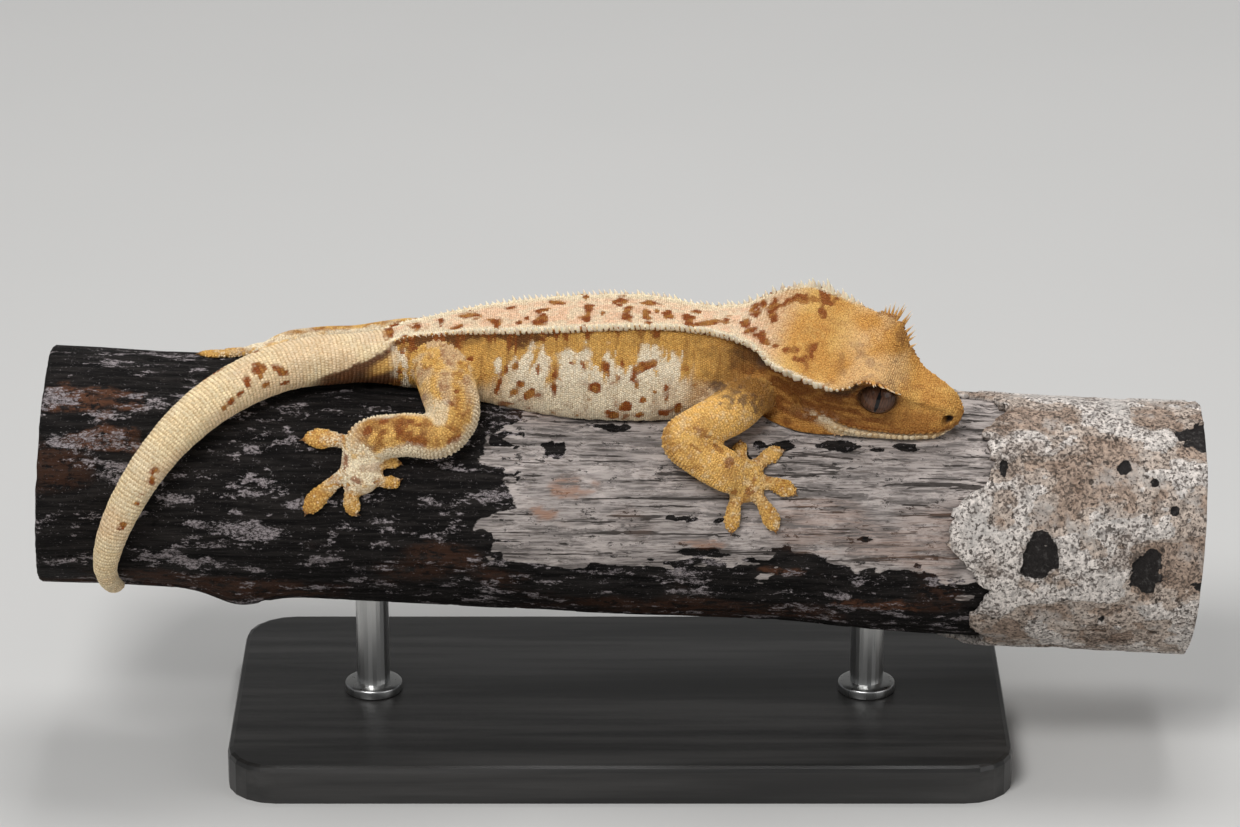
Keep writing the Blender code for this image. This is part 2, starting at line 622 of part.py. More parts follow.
def crest_spines(start, end):
    """The row along each crest, each spine a little longer or shorter and leaning its own way."""
    pieces = []
    draw = np.random.default_rng(SPINE_SEED)
    for side in (1, -1):
        for behind in np.arange(CREST_FROM, CREST_TO, SPINE_STEP):
            varied = 1.0 + SPINE_VARIES * draw.uniform(-1, 1, 2)
            if not start + 0.9 < behind < end - 0.9:
                continue
            tall = math.exp(-((behind - CREST_CORNER) / CREST_CORNER_SPREAD) ** 2)
            fade = min(1.0, (CREST_TO + 6.0 - behind) / 30.0)
            length = (SPINE_SHORT + (SPINE_LONG - SPINE_SHORT) * tall) * fade * varied[0]
            place, out, up = crest_point(behind, side)
            sides = SPINE_SIDES if behind < NECK_END else BACK_SPINE_SIDES
            base = SPINE_BASE + 0.1 * tall
            pieces.append(spine(place, SPINE_LEAN * varied[1] * out + up, length, base, sides))
    return pieces


def lashes():
    pieces = []
    axes = head_axes()
    draw = np.random.default_rng(SPINE_SEED + 1)
    for side in (1, -1):
        for i in range(LASH_COUNT):
            share = i / (LASH_COUNT - 1)
            behind = LASH_FROM + (LASH_TO - LASH_FROM) * share
            place, out, up = crest_point(behind, side)
            fan = 0.9 - 1.5 * share
            direction = 0.75 * out + 0.8 * up + fan * 0.6 * axes[:, 0]
            length = LASH_LENGTH * (0.62 + 0.38 * math.sin(math.pi * share)) * draw.uniform(0.85, 1.1)
            pieces.append(spine(place, direction, length, LASH_BASE))
    return pieces


def head_matrix():
    placed = Matrix.Translation(NOSE) @ Matrix(head_axes().tolist()).to_4x4()
    return to_world() @ placed


def mirrored(point, side):
    return Vector((point[0], point[1] * side, point[2]))


def ball(name, place, radius, segments=15, rings=9, squash=(1, 1, 1), lean=0.0):
    mesh = bmesh.new()
    bmesh.ops.create_uvsphere(mesh, u_segments=segments, v_segments=rings, radius=1.0)
    shape = (Matrix.Translation(place) @ Matrix.Rotation(lean, 4, "Y")
             @ Matrix.Diagonal((*(radius * s for s in squash), 1.0)))
    return finish_mesh(name, mesh, head_matrix() @ shape)


def lid_ring(side):
    """The raised rim of skin round the eye."""
    faces = Vector((EYE_FACES.x, EYE_FACES.y * side, EYE_FACES.z))
    centre = mirrored(EYE_AT, side) + faces * LID_OUT
    turn = faces.to_track_quat("Z", "Y").to_matrix()
    mesh = bmesh.new()
    loops = []
    for a in np.linspace(0, 2 * math.pi, 18, endpoint=False):
        out = Vector((math.cos(a), math.sin(a), 0))
        loops.append([mesh.verts.new(centre + turn @ (out * (LID_RADIUS + LID_THICK * math.cos(b))
                                                      + Vector((0, 0, LID_THICK * math.sin(b)))))
                      for b in np.linspace(0, 2 * math.pi, 6, endpoint=False)])
    for a, b in zip(loops, loops[1:] + loops[:1]):
        join_rings(mesh, a, b)
    bmesh.ops.triangulate(mesh, faces=mesh.faces)
    return finish_mesh("lid", mesh, head_matrix())


def mouth_cutter():
    """A thin band that follows the lips from one corner of the mouth to the other."""
    knots, levels = zip(*MOUTH_LINE)
    behind = np.concatenate((np.linspace(knots[-1], 4, 12), (2.6, 1.5, 0.8, 0.35)))
    level = spline(knots, np.array(levels)[:, None], behind)[:, 0]
    sections = spline(list(HEAD_SECTIONS), list(HEAD_SECTIONS.values()), behind)
    reach, height = [], []
    for distance, keys, z in zip(behind, sections, level):
        shrink = max(nose_rounding(distance), 0.02)
        reach.append(shrink * side_reach(keys, z))
        height.append(NOSE_LEVEL + (z - NOSE_LEVEL) * shrink if distance < NOSE_ROUND else z)
    right = np.stack((-behind, -np.array(reach), height), axis=1)
    left = right[::-1] * (1, -1, 1)
    line = np.vstack((right, left))
    tangent = unit(np.gradient(line[:, :2], axis=0))
    outward = np.stack((tangent[:, 1], -tangent[:, 0], np.zeros(len(line))), axis=1)
    mesh = bmesh.new()
    loops = []
    for point, out in zip(line, outward):
        inner, outer = point - MOUTH_DEPTH * out, point + 1.6 * out
        loops.append([mesh.verts.new(corner + np.array((0, 0, dz))) for corner, dz in (
            (inner, -0.1), (outer, -MOUTH_HEIGHT / 2), (outer, MOUTH_HEIGHT / 2), (inner, 0.1))])
    for a, b in zip(loops, loops[1:]):
        join_rings(mesh, a, b)
    mesh.faces.new(loops[0])
    mesh.faces.new(loops[-1])
    bmesh.ops.triangulate(mesh, faces=mesh.faces)
    return finish_mesh("mouth_cutter", mesh, head_matrix())


def make_head_details(head):
    fuse(head, [lid_ring(side) for side in (1, -1)] + crest_spines(0.0, HEAD_LENGTH) + lashes())
    sockets = [ball("socket", mirrored(EYE_AT, side), SOCKET_RADIUS, squash=EYE_SQUASH) for side in (1, -1)]
    nostrils = [ball("nostril", mirrored(NOSTRIL_AT, side), NOSTRIL_RADIUS, 8, 6) for side in (1, -1)]
    ears = [ball("ear", mirrored(EAR_AT, side), 1.0, 12, 8, EAR_HALF, EAR_LEAN) for side in (1, -1)]
    cutters = sockets + nostrils + ears + [mouth_cutter()]
    cut(head, cutters)
    for cutter in cutters:
        bpy.data.objects.remove(cutter)


def trunk_places(start, end, step):
    count = max(2, round((end - start) / step) + 1)
    return np.linspace(start, end, count)


def trunk_node(name, start, end, per_span, step):
    last = TRUNK[0][-1]
    first = name == "head"
    tail = end is None
    start, end = (0.0 if first else start + GAP), (last if tail else end)
    places = trunk_places(start, end, step)
    if first:
        places = np.concatenate(((0.12, 0.45, 1.1, 2.1), trunk_places(3.3, end, step)))
    nose = head_place(0, 0, NOSE_LEVEL) if first else None
    return loft(name, trunk_rings(places, per_span), start_point=nose)


def trunk_clearance():
    """The whole trunk, grown a little more than the gap, to part the limbs from it."""
    places = np.concatenate(((0.45, 1.1, 2.1), trunk_places(3.3, TRUNK[0][-1], 2.4)))
    return loft("trunk_clearance", trunk_rings(places, 2, 1.6 * GAP))


def make_gecko(clearance):
    nodes = {}
    for name, start, end, per_span, step in TRUNK_PARTS:
        nodes[name] = trunk_node(name, start, end, per_span, step)
    make_head_details(nodes["head"])
    for name, start, end in (("neck", HEAD_LENGTH, NECK_END), ("torso", NECK_END, TORSO_END)):
        fuse(nodes[name], crest_spines(start, end))
    trunk = trunk_clearance()
    for side, limbs in LIMBS.items():
        for (upper, lower), joints in limbs.values():
            length = tube_rings(limb_path(joints)[0], 4, 4, 0, 1, limb_path(joints)[1])[1]
            half_gap = LIMB_GAP / 2 / length
            upper_name, lower_name = f"{upper}_{side}", f"{lower}_{side}"
            nodes[upper_name] = limb_piece(upper_name, joints, 0.0, LIMB_PARTED_AT - half_gap)
            start, end = LIMB_PARTED_AT - 2 * half_gap, 1 - 2 * half_gap
            nodes[lower_name] = limb_piece(lower_name, joints, start, end)
            joint_space = limb_piece("joint_space", joints, 0.0, LIMB_PARTED_AT + half_gap, GAP)
            cut(nodes[lower_name], [joint_space])
            bpy.data.objects.remove(joint_space)
    for node, (side, limb), middle, turn, halves, toes in FEET:
        nodes[node] = foot_node(node, LIMBS[side][limb][1], middle, turn, halves, toes)
    for name, obj in nodes.items():
        cutters = [clearance] if name in dict((part[0], 1) for part in TRUNK_PARTS) else [clearance, trunk]
        cut(obj, cutters)
        light = name.startswith("tail")
        dress(obj, "cream_skin" if light else "tan_skin", CREAM if light else TAN, 0.6)
    bpy.data.objects.remove(trunk)
    for side, word in ((1, "left"), (-1, "right")):
        eye = ball(f"eye_{word}", mirrored(EYE_AT, side), EYE_RADIUS, squash=EYE_SQUASH)
        dress(eye, "eye", EYE_BROWN, 0.12)
    return nodes


def make_perch():
    dress(perch_solid("perch_branch", 0.0), "wood", WOOD, 0.85)
    dress(bark_solid("perch_bark", GAP, GAP + BARK_THICK), "bark", BARK, 0.9)


def make_stand(clearance):
    mesh = bmesh.new()
    bmesh.ops.create_cube(mesh, size=1.0)
    shape = Matrix.Diagonal((BASE_LENGTH * MM, BASE_DEPTH * MM, BASE_THICK * MM, 1.0))
    lifted = Matrix.Translation((0, 0, BASE_THICK * MM / 2)) @ shape
    bmesh.ops.transform(mesh, matrix=lifted, verts=mesh.verts)
    upright = [edge for edge in mesh.edges if abs((edge.verts[0].co - edge.verts[1].co).z) > MM]
    bmesh.ops.bevel(mesh, geom=upright, offset=BASE_CORNER * MM, segments=5, affect="EDGES", profile=0.5)
    top = [edge for edge in mesh.edges if all(v.co.z > BASE_THICK * MM * 0.99 for v in edge.verts)]
    bmesh.ops.bevel(mesh, geom=top, offset=BASE_EDGE * MM, segments=2, affect="EDGES", profile=0.5)
    base = finish_mesh("stand_base", mesh, Matrix.Identity(4))
    dress(base, "base", BASE_GREY, 0.35)
    for word, along in ROD_PLACES.items():
        mesh = bmesh.new()
        bottom, top = BASE_THICK + GAP, AXIS_HEIGHT
        bmesh.ops.create_cone(mesh, cap_ends=True, segments=24, radius1=ROD_RADIUS * MM,
                              radius2=ROD_RADIUS * MM, depth=(top - bottom) * MM)
        place = Matrix.Translation((along * MM, 0, (top + bottom) / 2 * MM))
        rod = finish_mesh(f"stand_rod_{word}", mesh, place)
        cut(rod, [clearance])
        dress(rod, "rod", STEEL, 0.3, 1.0)


def main():
    clear_scene()
    clearance = perch_solid("perch_clearance", GAP, 1.0)
    fuse(clearance, [bark_solid("bark_clearance", -2.0, GAP + BARK_THICK + GAP, 0.5)])
    make_gecko(clearance)
    make_perch()
    make_stand(clearance)
    bpy.data.objects.remove(clearance)


main()
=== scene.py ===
"""A crested gecko on a cut branch: skin, scales, spines, eyes and claws, wood, bark and stand.

The animal is modelled in the branch's own frame in millimetres (x along the branch towards the
head, the origin on the branch's axis) and every finished mesh is moved into the world in metres.
"""

import math

import bmesh
import bpy
import numpy as np
from bpy.props import FloatProperty, FloatVectorProperty, IntProperty, PointerProperty
from mathutils import Matrix, Vector
from mathutils.bvhtree import BVHTree
from mathutils.kdtree import KDTree


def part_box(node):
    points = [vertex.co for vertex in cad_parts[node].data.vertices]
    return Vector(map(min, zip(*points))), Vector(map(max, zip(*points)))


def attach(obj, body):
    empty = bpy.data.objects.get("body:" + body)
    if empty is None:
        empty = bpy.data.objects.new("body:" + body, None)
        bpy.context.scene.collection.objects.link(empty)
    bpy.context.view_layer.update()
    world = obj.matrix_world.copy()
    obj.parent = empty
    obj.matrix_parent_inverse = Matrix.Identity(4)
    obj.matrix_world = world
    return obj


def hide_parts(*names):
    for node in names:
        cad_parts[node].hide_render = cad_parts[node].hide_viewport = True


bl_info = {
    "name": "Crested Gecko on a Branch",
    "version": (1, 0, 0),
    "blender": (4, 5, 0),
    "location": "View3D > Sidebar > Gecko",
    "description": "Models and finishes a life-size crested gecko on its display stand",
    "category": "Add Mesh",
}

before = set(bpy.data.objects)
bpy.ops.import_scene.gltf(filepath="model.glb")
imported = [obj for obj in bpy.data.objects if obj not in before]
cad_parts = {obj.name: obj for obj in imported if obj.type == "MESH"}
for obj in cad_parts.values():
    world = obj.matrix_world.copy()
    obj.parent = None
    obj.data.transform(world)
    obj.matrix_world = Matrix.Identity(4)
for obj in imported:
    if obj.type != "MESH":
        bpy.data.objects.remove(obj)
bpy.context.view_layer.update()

MM = 0.001

# Branch
PERCH_RADIUS, PERCH_HALF, PERCH_SLOPE = 21.3, 103.0, math.radians(3.5)
SWELLS = ((0.30, 0.061, 0.4, 1), (0.22, 0.113, 1.9, 2), (0.14, 0.047, 2.6, 3))
KNOT_ALONG, KNOT_AROUND, KNOT_HEIGHT, KNOT_LENGTH, KNOT_SPREAD = -67.0, 152.0, 2.2, 6.0, 20.0
BARK_START, BARK_THICK, BARK_RAGGED, BARK_GAP, CHIN_AROUND = 62.0, 1.3, 5.5, 0.3, 22.0
AXIS_HEIGHT = 45.3

# Photo view: the camera looks along +Y from above, and a pixel of the photo is this wide at the animal
VIEW_DISTANCE, VIEW_HEIGHT, VIEW_TARGET = 900.0, math.radians(22.0), (0.0, 5.55, 59.04)
PHOTO_WIDTH, PHOTO_HEIGHT, PHOTO_PIXEL = 1240, 827, 0.18

# Lights: name, place and width in metres, power in watts
LIGHTS = (("key", (-0.35, -0.7, 1.0), 0.5, 10.0), ("fill", (0.9, -0.6, 0.45), 0.7, 1.8),
          ("top", (0.1, 0.35, 1.0), 0.5, 5.6))

# Head
NOSE = (59.4, -9.9, 24.3)
HEAD_YAW, HEAD_PITCH, HEAD_ROLL = math.radians(-11.6), math.radians(-12.0), math.radians(32.0)
NOSE_ROUND, NOSE_LEVEL = 4.2, -1.3
EYE_AT, EYE_RADIUS, EYE_SQUASH = np.array((-15.2, 4.5, 2.65)), 3.75, np.array((1.0, 0.95, 0.9))
EYE_FACES = np.array((0.16, 0.85, 0.48)) / np.linalg.norm((0.16, 0.85, 0.48))
EYE_OPENING = 3.05
MOUTH_LINE = ((0.0, -2.8), (3.0, -3.2), (6.0, -3.4), (9.6, -3.6), (15.3, -3.8), (18.2, -3.8), (20.8, -3.5),
              (22.6, -2.9))
MOUTH_END = MOUTH_LINE[-1][0]
NOSTRIL_AT, EAR_AT, EAR_LEAN = (-2.2, 3.0, -0.5), (-28.3, 9.4, -2.2), math.radians(35.0)

# Cross-sections, from the snout back, each from the crown over the crest to the keel:
# crown, crest y z, flare, edge, flank y z, low y z, belly y z, keel
HEAD_SECTIONS = {
    0.0: (1.5, 2.2, 1.0, 0.1, 0.9, 2.8, -0.8, 3.0, -3.0, 2.2, -4.3, -4.5),
    3.0: (2.4, 2.6, 1.8, 0.1, 1.0, 3.6, -0.6, 4.4, -3.6, 3.5, -5.5, -5.8),
    6.0: (3.0, 3.2, 2.6, 0.1, 1.1, 4.6, -0.4, 5.7, -4.1, 4.8, -6.3, -6.7),
    9.6: (3.7, 4.2, 3.7, 0.2, 1.2, 5.7, -0.2, 7.0, -4.4, 5.9, -6.9, -7.4),
    12.6: (5.1, 6.0, 6.2, 0.8, 1.5, 6.3, 0.2, 7.9, -4.8, 6.8, -7.3, -7.9),
    15.3: (6.8, 7.8, 9.7, 1.5, 1.9, 6.8, 0.2, 8.7, -5.1, 7.6, -7.8, -8.4),
    18.2: (7.3, 8.3, 9.3, 1.5, 1.8, 7.3, 0.0, 9.4, -5.5, 8.6, -8.8, -9.6),
    21.0: (7.2, 9.5, 7.2, 1.3, 1.5, 7.9, -0.9, 10.2, -6.2, 10.0, -10.2, -11.1),
    24.8: (7.3, 10.2, 6.9, 1.8, 1.4, 8.3, -1.6, 10.8, -7.2, 11.3, -11.7, -12.7),
    28.4: (7.6, 10.4, 7.3, 2.3, 1.4, 8.4, -2.0, 11.0, -7.8, 11.7, -12.8, -13.8),
    31.0: (7.7, 10.4, 7.6, 2.6, 1.4, 8.3, -2.2, 10.8, -8.1, 11.5, -13.2, -14.3),
    34.0: (7.4, 9.7, 7.3, 2.2, 1.4, 8.2, -2.2, 10.4, -8.2, 10.9, -13.1, -14.3),
}
# along, around, lift, roll, section
BODY_SECTIONS = (
    (21.5, 5.0, 9.0, 5.0, (6.7, 7.5, 6.2, 1.2, 1.3, 8.2, -1.4, 9.4, -6.8, 8.3, -11.8, -12.7)),
    (14.5, 3.0, 8.2, -2.0, (6.6, 6.3, 6.2, 0.6, 1.2, 9.4, -1.0, 9.7, -5.8, 7.6, -10.0, -10.8)),
    (3.6, 2.0, 7.5, 0.0, (7.8, 7.1, 7.5, 0.4, 1.1, 11.2, -1.0, 11.3, -6.6, 8.8, -9.8, -10.4)),
    (-10.8, 2.0, 7.2, 0.0, (7.0, 7.6, 6.6, 0.3, 1.0, 11.3, -1.4, 11.0, -6.8, 8.8, -9.8, -10.4)),
    (-21.6, 1.6, 6.8, 0.0, (6.0, 6.8, 5.5, 0.2, 0.9, 9.8, -1.0, 9.5, -6.0, 7.2, -9.0, -9.6)),
    (-30.0, 1.6, 6.3, 0.0, (5.3, 5.0, 4.6, 0.0, 0.9, 8.3, -0.6, 8.0, -4.8, 6.0, -7.6, -8.2)),
    (-39.0, 3.5, 5.4, 0.0, (4.4, 3.0, 3.9, -0.6, 0.9, 6.2, 0.0, 6.0, -3.4, 4.4, -5.6, -6.2)),
)
# along, around, half width, half height
TAIL_SECTIONS = (
    (-47.0, 8.5, 4.5, 4.4), (-53.0, 11.6, 4.4, 4.4), (-60.0, 16.6, 4.3, 4.2), (-66.6, 25.8, 4.2, 4.0),
    (-72.4, 36.5, 4.0, 3.8), (-77.3, 48.0, 3.7, 3.6), (-81.3, 59.8, 3.4, 3.3), (-84.5, 71.7, 3.15, 3.1),
    (-87.4, 85.8, 2.9, 2.8), (-89.6, 102.3, 2.5, 2.4), (-90.3, 118.4, 2.0, 2.0), (-88.8, 134.0, 1.3, 1.4),
    (-87.6, 139.0, 0.5, 0.6),
)
ELLIPSE_KEYS = (1.0, 0.62, 0.78, -0.25, 0.28, 1.0, 0.0, 0.87, -0.5, 0.5, -0.87, -1.0)
IS_WIDTH = (0, 1, 0, 1, 0, 1, 0, 1, 0, 1, 0, 0)

# Distances behind the nose, along the trunk, where larger parts of the skin end
HEAD_SKIN_END, TORSO_END = 36.0, 104.0

# Limbs: joint places as (along, around, lift, half width, half thickness)
LIMBS = {
    ("arm", "right"): ((22.0, 17.0, 4.6, 4.3, 4.2), (18.2, 30.5, 5.2, 4.0, 3.9), (12.9, 38.0, 4.9, 3.9, 3.6),
                       (9.7, 42.6, 4.1, 3.6, 3.4), (13.8, 49.4, 3.3, 3.7, 3.1), (19.2, 55.2, 2.2, 3.5, 2.2)),
    ("leg", "right"): ((-34.0, 10.0, 5.0, 5.0, 4.4), (-31.6, 28.0, 5.4, 5.0, 4.3),
                       (-30.6, 39.5, 4.6, 4.4, 3.9), (-32.2, 46.0, 3.9, 3.9, 3.6),
                       (-39.0, 46.8, 3.3, 3.7, 3.1), (-45.6, 51.0, 2.3, 3.7, 2.3)),
    ("arm", "left"): ((21.0, -13.0, 4.5, 4.3, 4.1), (16.8, -27.0, 5.0, 4.0, 3.8),
                      (12.6, -35.5, 4.8, 3.8, 3.5), (11.4, -42.0, 4.0, 3.5, 3.4),
                      (15.5, -49.0, 3.2, 3.6, 3.1), (21.0, -54.5, 2.2, 3.4, 2.2)),
    ("leg", "left"): ((-34.0, -8.0, 4.6, 4.8, 4.2), (-38.5, -21.0, 4.6, 4.7, 3.9),
                      (-43.5, -30.0, 4.4, 4.2, 3.6), (-48.5, -33.0, 3.9, 3.9, 3.3),
                      (-56.0, -29.0, 3.2, 3.6, 2.9), (-62.0, -23.5, 2.2, 3.4, 2.2)),
}
HAND_TOES = (((-0.6, -1.6), (-1.1, -4.9), (-1.1, -7.1), 1.25), ((0.9, -1.6), (3.7, -4.4), (6.3, -5.9), 1.55),
             ((1.4, 0.0), (5.8, 0.6), (8.9, 1.9), 1.6), ((1.2, 1.4), (4.2, 5.3), (5.8, 8.6), 1.6),
             ((-1.2, 1.4), (-1.9, 5.7), (-2.0, 9.2), 1.5))
FOOT_TOES = (((1.4, -0.6), (4.6, -0.9), (6.6, -0.8), 1.15), ((1.2, 1.8), (4.7, 2.5), (6.8, 2.0), 1.2),
             ((-1.6, 1.8), (-1.6, 6.1), (-0.3, 8.3), 1.5), ((-2.0, 0.8), (-6.9, 5.2), (-9.4, 8.8), 1.8),
             ((-1.6, -3.6), (-6.4, -4.5), (-10.7, -4.1), 1.9))
FEET = (
    (("arm", "right"), (21.4, 56.7), 0.0, (3.4, 4.0), HAND_TOES),
    (("arm", "left"), (23.4, -56.0), -8.0, (3.4, 4.0), HAND_TOES),
    (("leg", "right"), (-46.0, 60.2), 0.0, (3.8, 5.0), FOOT_TOES),
    (("leg", "left"), (-64.6, -19.0), 62.0, (3.8, 4.6), FOOT_TOES),
)
TOE_SHAPE = ((0.0, 0.8, 1.1), (0.25, 0.68, 0.9), (0.45, 0.85, 0.78), (0.65, 1.0, 0.72), (0.82, 0.82, 0.65),
             (0.95, 0.4, 0.55), (1.0, 0.16, 0.3))
PALM_THICK, PALM_SINK, PALM_JOINT, PALM_RIM = 2.5, 0.5, (0.9, 3.1, 1.5), 6

# Corners in a ring, and rings, of the lofts; the trunk's rings have so many corners between two keys
TRUNK_CORNERS, PALM_SIDES = 8, 36
WRIST_SIDES, WRIST_RINGS, TOE_SIDES, TOE_RINGS = 28, 12, 22, 26
WOOD_SIDES, WOOD_RINGS, BARK_SIDES, BARK_RINGS = 300, 292, 420, 96

FLESH_NODES = ["head", "neck", "torso", "tail_base", "tail_middle", "tail_tip"] + [
    f"{part}_{side}" for side in ("left", "right")
    for part in ("upper_arm", "forearm", "hand", "thigh", "shin", "foot")]

# What a point of the skin belongs to
TRUNK, ARM, LEG, HAND, FOOT, HAND_TOE, FOOT_TOE = range(7)

TAIL_RING, MARK_GROWTH = 0.72, 1.15

# Height and width shares of small closed forms from the root up, and the corners of their rings
DOME, DOME_SIDES = ((-0.5, 1.0), (0.5, 0.82)), 5
PLATE, PLATE_SIDES = ((-0.6, 1.0), (0.35, 0.96), (0.8, 0.72)), 8
SPINE, SPINE_SIDES = ((-0.3, 1.0), (0.1, 0.9), (0.45, 0.56), (0.8, 0.22)), 6
CLAW, CLAW_SIDES = ((-0.45, 1.0), (0.0, 0.95), (0.3, 0.75), (0.6, 0.48), (0.85, 0.22)), 8

# Rows of crest spines: first place behind the nose, step, inward and downward shift, lean outward, width
# and length, the step, width and length as shares of the first row's
CREST_ROWS = ((20.0, 1.0, 0.0, 0.0, 0.5, 1.0, 1.0), (24.0, 1.25, -0.75, 0.0, 0.1, 0.66, 0.45),
              (24.0, 1.25, 0.6, 0.35, 1.1, 0.66, 0.45))

# Scales: length as a share of the step and height, on the head and on the tail's rings too
SCALE_SHARE, SCALE_HEIGHT, HEAD_SCALE_HEIGHT = 0.56, 0.13, 0.085
TAIL_SCALE_LENGTH, TAIL_SCALE_SHARE, TAIL_SCALE_HEIGHT = 0.48 * TAIL_RING, 0.62, 0.075

# Room between the branch and what lies on it, a claw's size and the bulge of the eyeball's front
SKIN_ROOM, CLAW_ROOM = 0.06, 0.03
CLAW_LENGTH, CLAW_WIDTH, CLAW_DEPTH = 0.85, 0.2, 0.26
EYE_BULGE, EYE_BULGE_WIDTH = 0.10, 2.0

# Collars of the rods, in millimetres, and the floor and the camera's sensor
COLLAR_RADIUS, COLLAR_HEIGHT, COLLAR_LIFT = 5.2, 1.6, 0.55
COLLAR_INSET, COLLAR_STEP, COLLAR_EDGE = 0.9, 0.35, 0.25
FLOOR_SIZE, FLOOR_RISE, FLOOR_CURVE, SENSOR_WIDTH = 4.0, 2.4, 1.2, 36.0

# Seeds of the random draws
SCALE_SEED, LIP_SEED, SPINE_SEED = 5, 12, 8

# The most scales in one piece, and the width of each scale's patch on the unwrap
PIECE_SCALES, BAKE_PATCH = 9500, 0.003

# Markings: photo pixel, half length and half width in millimetres, and degrees if turned
BACK_SPOTS = (
    (589, 308, 0.8, 0.8), (585, 319, 0.9, 0.7, 30), (583, 328, 0.5, 0.8), (621, 302, 1.0, 0.8),
    (628, 309, 0.8, 0.7), (627, 318, 0.9, 0.8), (650, 303, 1.4, 0.7, -30), (647, 317, 0.7, 1.6),
    (668, 314, 0.8, 0.7), (688, 318, 1.1, 0.6), (689, 325, 0.7, 0.6), (697, 312, 0.8, 0.6, -20),
    (709, 323, 2.2, 0.6, 30), (728, 320, 1.1, 0.7), (746, 322, 0.8, 0.9), (756, 311, 1.3, 0.8),
    (773, 307, 1.4, 0.9, 20), (773, 318, 0.8, 1.2), (764, 305, 0.7, 0.7), (750, 331, 1.0, 0.6),
    (760, 336, 1.6, 0.7, -20), (766, 341, 0.9, 0.6), (791, 301, 1.2, 0.7, 20), (802, 298, 1.3, 0.8),
    (813, 299, 0.9, 0.6, -20), (827, 297, 1.2, 1.4, 20), (823, 313, 0.6, 1.3), (803, 361, 1.3, 1.2, 30),
    (811, 348, 1.1, 0.7, 45), (795, 350, 1.0, 0.5), (785, 350, 0.7, 0.5), (776, 346, 0.6, 0.5),
    (415, 326, 1.0, 0.8), (441, 321, 0.6, 0.5), (470, 315, 1.5, 0.8, 15), (456, 327, 1.0, 0.6, 30),
    (494, 321, 1.3, 0.5, -10), (497, 327, 0.5, 0.8), (510, 308, 0.9, 0.5, 25), (527, 318, 0.4, 0.3),
    (544, 310, 1.3, 0.5, 25), (540, 320, 1.2, 1.0), (557, 303, 1.0, 0.7, 25), (389, 331, 0.9, 0.9),
    (406, 339, 0.8, 0.8), (603, 313, 0.35, 0.3), (657, 311, 0.4, 0.3), (519, 323, 0.35, 0.3),
)
FLANK_SPOTS = (
    (515, 367, 0.5, 0.7), (506, 368, 0.3, 0.9), (518, 388, 0.7, 1.5, -35), (527, 396, 0.6, 1.4, -35),
    (499, 385, 0.35, 1.3, -15), (555, 381, 0.6, 2.6), (538, 369, 0.3, 0.8), (584, 366, 0.35, 0.8, 20),
    (605, 369, 0.6, 1.2, 20), (622, 364, 0.5, 0.9, 20), (651, 364, 1.1, 0.7, 25), (642, 368, 1.0, 0.8, 40),
    (634, 376, 0.5, 1.6), (636, 384, 0.4, 0.9), (595, 388, 1.1, 0.8), (628, 407, 1.1, 0.8),
    (642, 400, 0.5, 0.7, 20), (666, 388, 0.5, 0.8), (666, 397, 0.35, 0.9), (678, 408, 0.6, 0.8),
    (612, 415, 1.2, 0.6), (654, 392, 0.35, 0.4), (572, 363, 0.4, 0.3), (590, 400, 0.3, 0.3),
    (640, 415, 1.2, 0.5), (664, 413, 1.0, 0.5), (470, 360, 0.6, 0.5), (466, 376, 0.5, 0.4),
    (387, 346, 0.4, 1.5), (399, 371, 0.5, 0.4), (382, 361, 0.4, 0.9), (414, 349, 0.9, 0.5),
    (396, 384, 1.0, 0.5), (385, 378, 0.8, 0.5, 20), (408, 357, 0.4, 0.8),
)
WHITE_PATCHES = (
    (524, 372, 0.9, 5.2, -12), (540, 385, 1.6, 4.4, -5), (499, 366, 1.0, 1.2), (568, 376, 1.9, 4.6),
    (580, 386, 1.9, 4.8), (594, 382, 1.6, 1.9), (598, 402, 2.6, 2.3), (611, 378, 1.3, 4.6, 5),
    (623, 388, 1.8, 3.2), (656, 358, 1.0, 1.6), (664, 372, 1.8, 3.4), (651, 382, 2.0, 2.6),
    (674, 376, 1.0, 2.9), (644, 392, 1.8, 2.2), (550, 398, 1.9, 2.4), (609, 398, 1.7, 2.6),
    (450, 362, 1.9, 1.6), (394, 360, 0.9, 2.8), (463, 370, 1.2, 0.9), (624, 402, 1.4, 1.2),
    (404, 386, 0.9, 0.9), (404, 364, 0.6, 1.8),
)
GREY_PATCHES = (
    (719, 390, 1.0, 0.9), (728, 396, 1.4, 1.1), (737, 389, 0.9, 0.8), (744, 400, 1.1, 0.9),
    (725, 404, 0.9, 0.7), (757, 404, 0.9, 1.3), (426, 384, 0.8, 0.9, 20), (437, 365, 0.5, 0.5),
    (433, 392, 0.4, 0.4),
)
TAIL_MARKS = (
    (258, 368, 1.1, 0.8), (260, 374, 0.4, 0.9), (280, 370, 1.3, 0.6, -35), (248, 384, 0.6, 1.1, 20),
    (240, 394, 1.1, 0.4, 35), (230, 402, 1.0, 0.5, 35), (224, 408, 0.6, 0.5), (266, 385, 0.6, 0.4),
    (285, 383, 0.7, 0.3), (153, 472, 1.1, 0.8, -20), (152, 480, 0.5, 0.9), (143, 494, 0.7, 0.4, 30),
    (137, 503, 0.4, 0.3), (123, 526, 0.4, 0.6), (119, 530, 0.3, 0.4),
)
